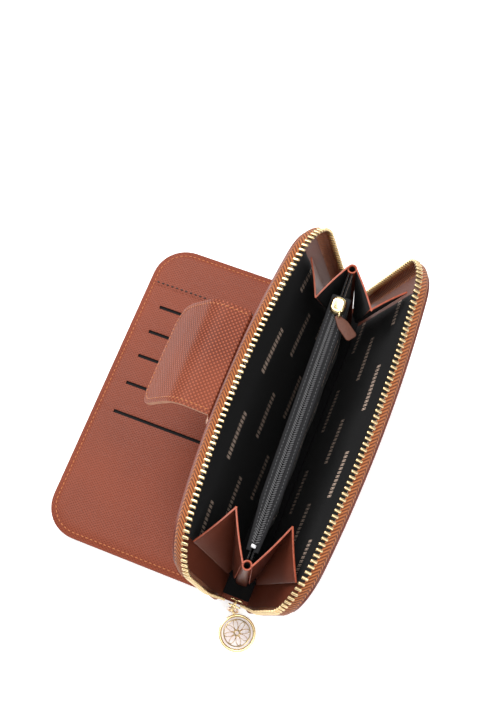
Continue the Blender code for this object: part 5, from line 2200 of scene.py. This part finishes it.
@dataclass
class CoinSlider:
    """The coin zip's domed slider and its short leather pull."""

    looks: Looks
    length: float = 0.0095
    width: float = 0.0080
    height: float = 0.0034
    hoop: float = 0.0019
    hoop_x: float = 0.0022
    wire: float = 0.00052
    pull_length: float = 0.0150
    pull_width: float = 0.0062
    pull_root: float = 0.0016
    thick: float = 0.0012
    zip_far: float = 0.0660

    def build(self) -> None:
        """Make the slider and its pull."""
        attach(self.dome(), "coin_slider", "gold", "coin_slider_body")
        attach(self.pull(), "coin_pull", "tab_leather", "coin_pull")

    def slider_frame(self) -> Matrix:
        """The slider's frame: origin under it on the coil, Y towards the far end."""
        along = self.zip_far - self.length / 2 - 0.0018
        low = BUILD.band_top + 0.0016
        return frame_at(Vector((divider_x(along, BUILD.band_top), along, low)), Vector((1, 0.040, 0)), UP)

    def dome(self) -> Made:
        """A domed, round-ended shell with a shallow inset panel on its crown and a hoop at its front.

        Returns:
            The finished piece.
        """
        body = bmesh.new()
        size = Matrix.Diagonal((self.width, self.length, self.height, 1.0))
        lift = Matrix.Translation((0, 0, self.height / 2))
        bmesh.ops.create_cube(body, size=1.0, matrix=lift @ size)
        upright = [edge for edge in body.edges if abs(edge.verts[0].co.z - edge.verts[1].co.z) > 1e-4]
        bevel(body, upright, 0.0034, 8)
        rim = [edge for edge in body.edges if min(vert.co.z for vert in edge.verts) > self.height - 1e-5]
        bevel(body, rim, 0.0017, 6)
        crown = max(body.faces, key=lambda face: face.calc_center_median().z)
        bmesh.ops.inset_region(body, faces=[crown], thickness=0.0006, depth=-0.00015, use_even_offset=True)
        hoop = Matrix.Translation((self.hoop_x, -self.length / 2, self.height / 2))
        wire_ring(body, self.hoop, self.wire, hoop @ QUARTER_Y, 28, 10)
        bmesh.ops.transform(body, matrix=self.slider_frame(), verts=body.verts)
        return piece("coin_slider_dome", body, (self.looks.bright,), sharp=50, outwards=True)

    def pull(self) -> Made:
        """The leather pull: a narrow root and a blunt tip.

        Returns:
            The finished piece.
        """
        pivot, axis = joint("coin_pull_swing")
        heading = axis.cross(UP).normalized()
        if heading.x < 0:
            heading = -heading
        half, reach = self.pull_width / 2, self.pull_length - self.pull_root
        steps = 5
        edge = [(-self.pull_root, 0.0011), (0.0, 0.0017), (0.0026, 0.0025), (0.0045, half)]
        for step in range(steps + 1):
            turn = math.pi / 2 * (1 - step / steps)
            edge.append((reach - 0.0016 + 0.0016 * math.cos(turn), half - 0.0016 + 0.0016 * math.sin(turn)))
        outline = edge + [(x, -y) for x, y in reversed(edge)]
        body = outline_body(outline[::-1], -self.thick / 2, self.thick / 2)
        round_edges(body, 0.00035, 3)
        chart_flat(body)
        place = frame_at(pivot, heading, UP)
        bmesh.ops.transform(body, matrix=place, verts=body.verts)
        return piece("coin_pull_strap", body, (self.looks.strap,), sharp=50)


# ---------------------------------------------------------------- studio


@dataclass
class Studio:
    """The pale floor, the soft light and the camera."""

    floor_half: float = 2.5
    eye: tuple[float, float, float] = (0.085839, -0.162303, 0.697189)
    right: tuple[float, float, float] = (0.9255, 0.3724, -0.0700)
    above: tuple[float, float, float] = (-0.3329, 0.8873, 0.3191)
    lens: float = 62.06

    def camera(self) -> None:
        """The camera looks down from beside the near end."""
        data = bpy.data.cameras.new("camera")
        data.lens = self.lens
        data.sensor_width = 36.0
        data.clip_start, data.clip_end = 0.01, 20.0
        made = bpy.data.objects.new("camera", data)
        bpy.context.scene.collection.objects.link(made)
        x = Vector(self.right).normalized()
        z = x.cross(Vector(self.above)).normalized()
        made.matrix_world = axes(Vector(self.eye), x, z.cross(x), z)
        bpy.context.scene.camera = made

    def floor(self) -> None:
        """A wide, plain, almost white table."""
        body = bmesh.new()
        bmesh.ops.create_grid(body, x_segments=1, y_segments=1, size=self.floor_half)
        bmesh.ops.translate(body, verts=body.verts, vec=(0, 0, -0.0003))
        graph = Graph("pale_table", Specular_IOR_Level=0.05, Emission_Strength=0.45)
        cloud = graph.noise(graph.place(), 0.004, 2.0)
        graph.colour(graph.mix(cloud * 0.15, (0.93, 0.93, 0.935), (0.90, 0.90, 0.905)))
        graph.rough(0.8)
        piece("table", body, (graph.material,))

    def lamp(
        self, name: str, place: tuple, aim: tuple, size: float, power: float, tint: Colour = (1, 1, 1)
    ) -> None:
        """A square soft light.

        Args:
            name: its name.
            place: where it stands.
            aim: the point that it faces.
            size: its side.
            power: in watts.
            tint: its colour.
        """
        data = bpy.data.lights.new(name, "AREA")
        data.shape = "SQUARE"
        data.size, data.energy, data.color = size, power, tint
        made = bpy.data.objects.new(name, data)
        bpy.context.scene.collection.objects.link(made)
        heading = (Vector(aim) - Vector(place)).normalized()
        made.rotation_mode = "QUATERNION"
        made.rotation_quaternion = heading.to_track_quat("-Z", "Y")
        made.location = place

    def light(self) -> None:
        """A white surround, a key from the upper left and a fill from the right."""
        world = bpy.data.worlds.new("surround")
        bpy.context.scene.world = world
        world.use_nodes = True
        shade = world.node_tree.nodes["Background"]
        shade.inputs["Color"].default_value = (1.0, 1.0, 1.0, 1.0)
        shade.inputs["Strength"].default_value = 0.45
        self.lamp("key", (-0.55, 0.45, 1.10), (-0.03, 0.0, 0.03), 0.70, 15.0, (1.0, 0.985, 0.97))
        self.lamp("top", (0.10, -0.10, 1.50), (0.0, 0.0, 0.0), 1.20, 9.0)
        self.lamp("fill", (0.80, -0.35, 0.75), (0.0, 0.0, 0.03), 0.60, 3.5)
        bpy.context.scene.view_settings.view_transform = "Standard"


# ---------------------------------------------------------------- the whole wallet


def dress_hidden(looks: Looks) -> None:
    """Finish the boards between the leather and the lining."""
    for name in ("left", "right"):
        dress(f"{name}_cover_board", looks.board)


def main() -> None:
    """Build every sub-assembly in order."""
    logging.basicConfig(level=logging.INFO, format="%(name)s %(message)s")
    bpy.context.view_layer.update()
    studio = Studio()
    studio.camera()
    looks = Looks()
    Spine(looks).build()
    for side in (LEFT, RIGHT):
        Cover(side, looks).build()
    CoinPocket(looks).build()
    Gusset("near", -0.0820, math.radians(18.6), looks).build()
    Gusset("far", 0.0835, math.radians(15.2), looks).build()
    CardFlap(looks).build()
    StrapTab(looks).build()
    MainSlider(looks).build()
    CoinSlider(looks).build()
    dress_hidden(looks)
    studio.floor()
    studio.light()


if __name__ == "__main__":
    main()
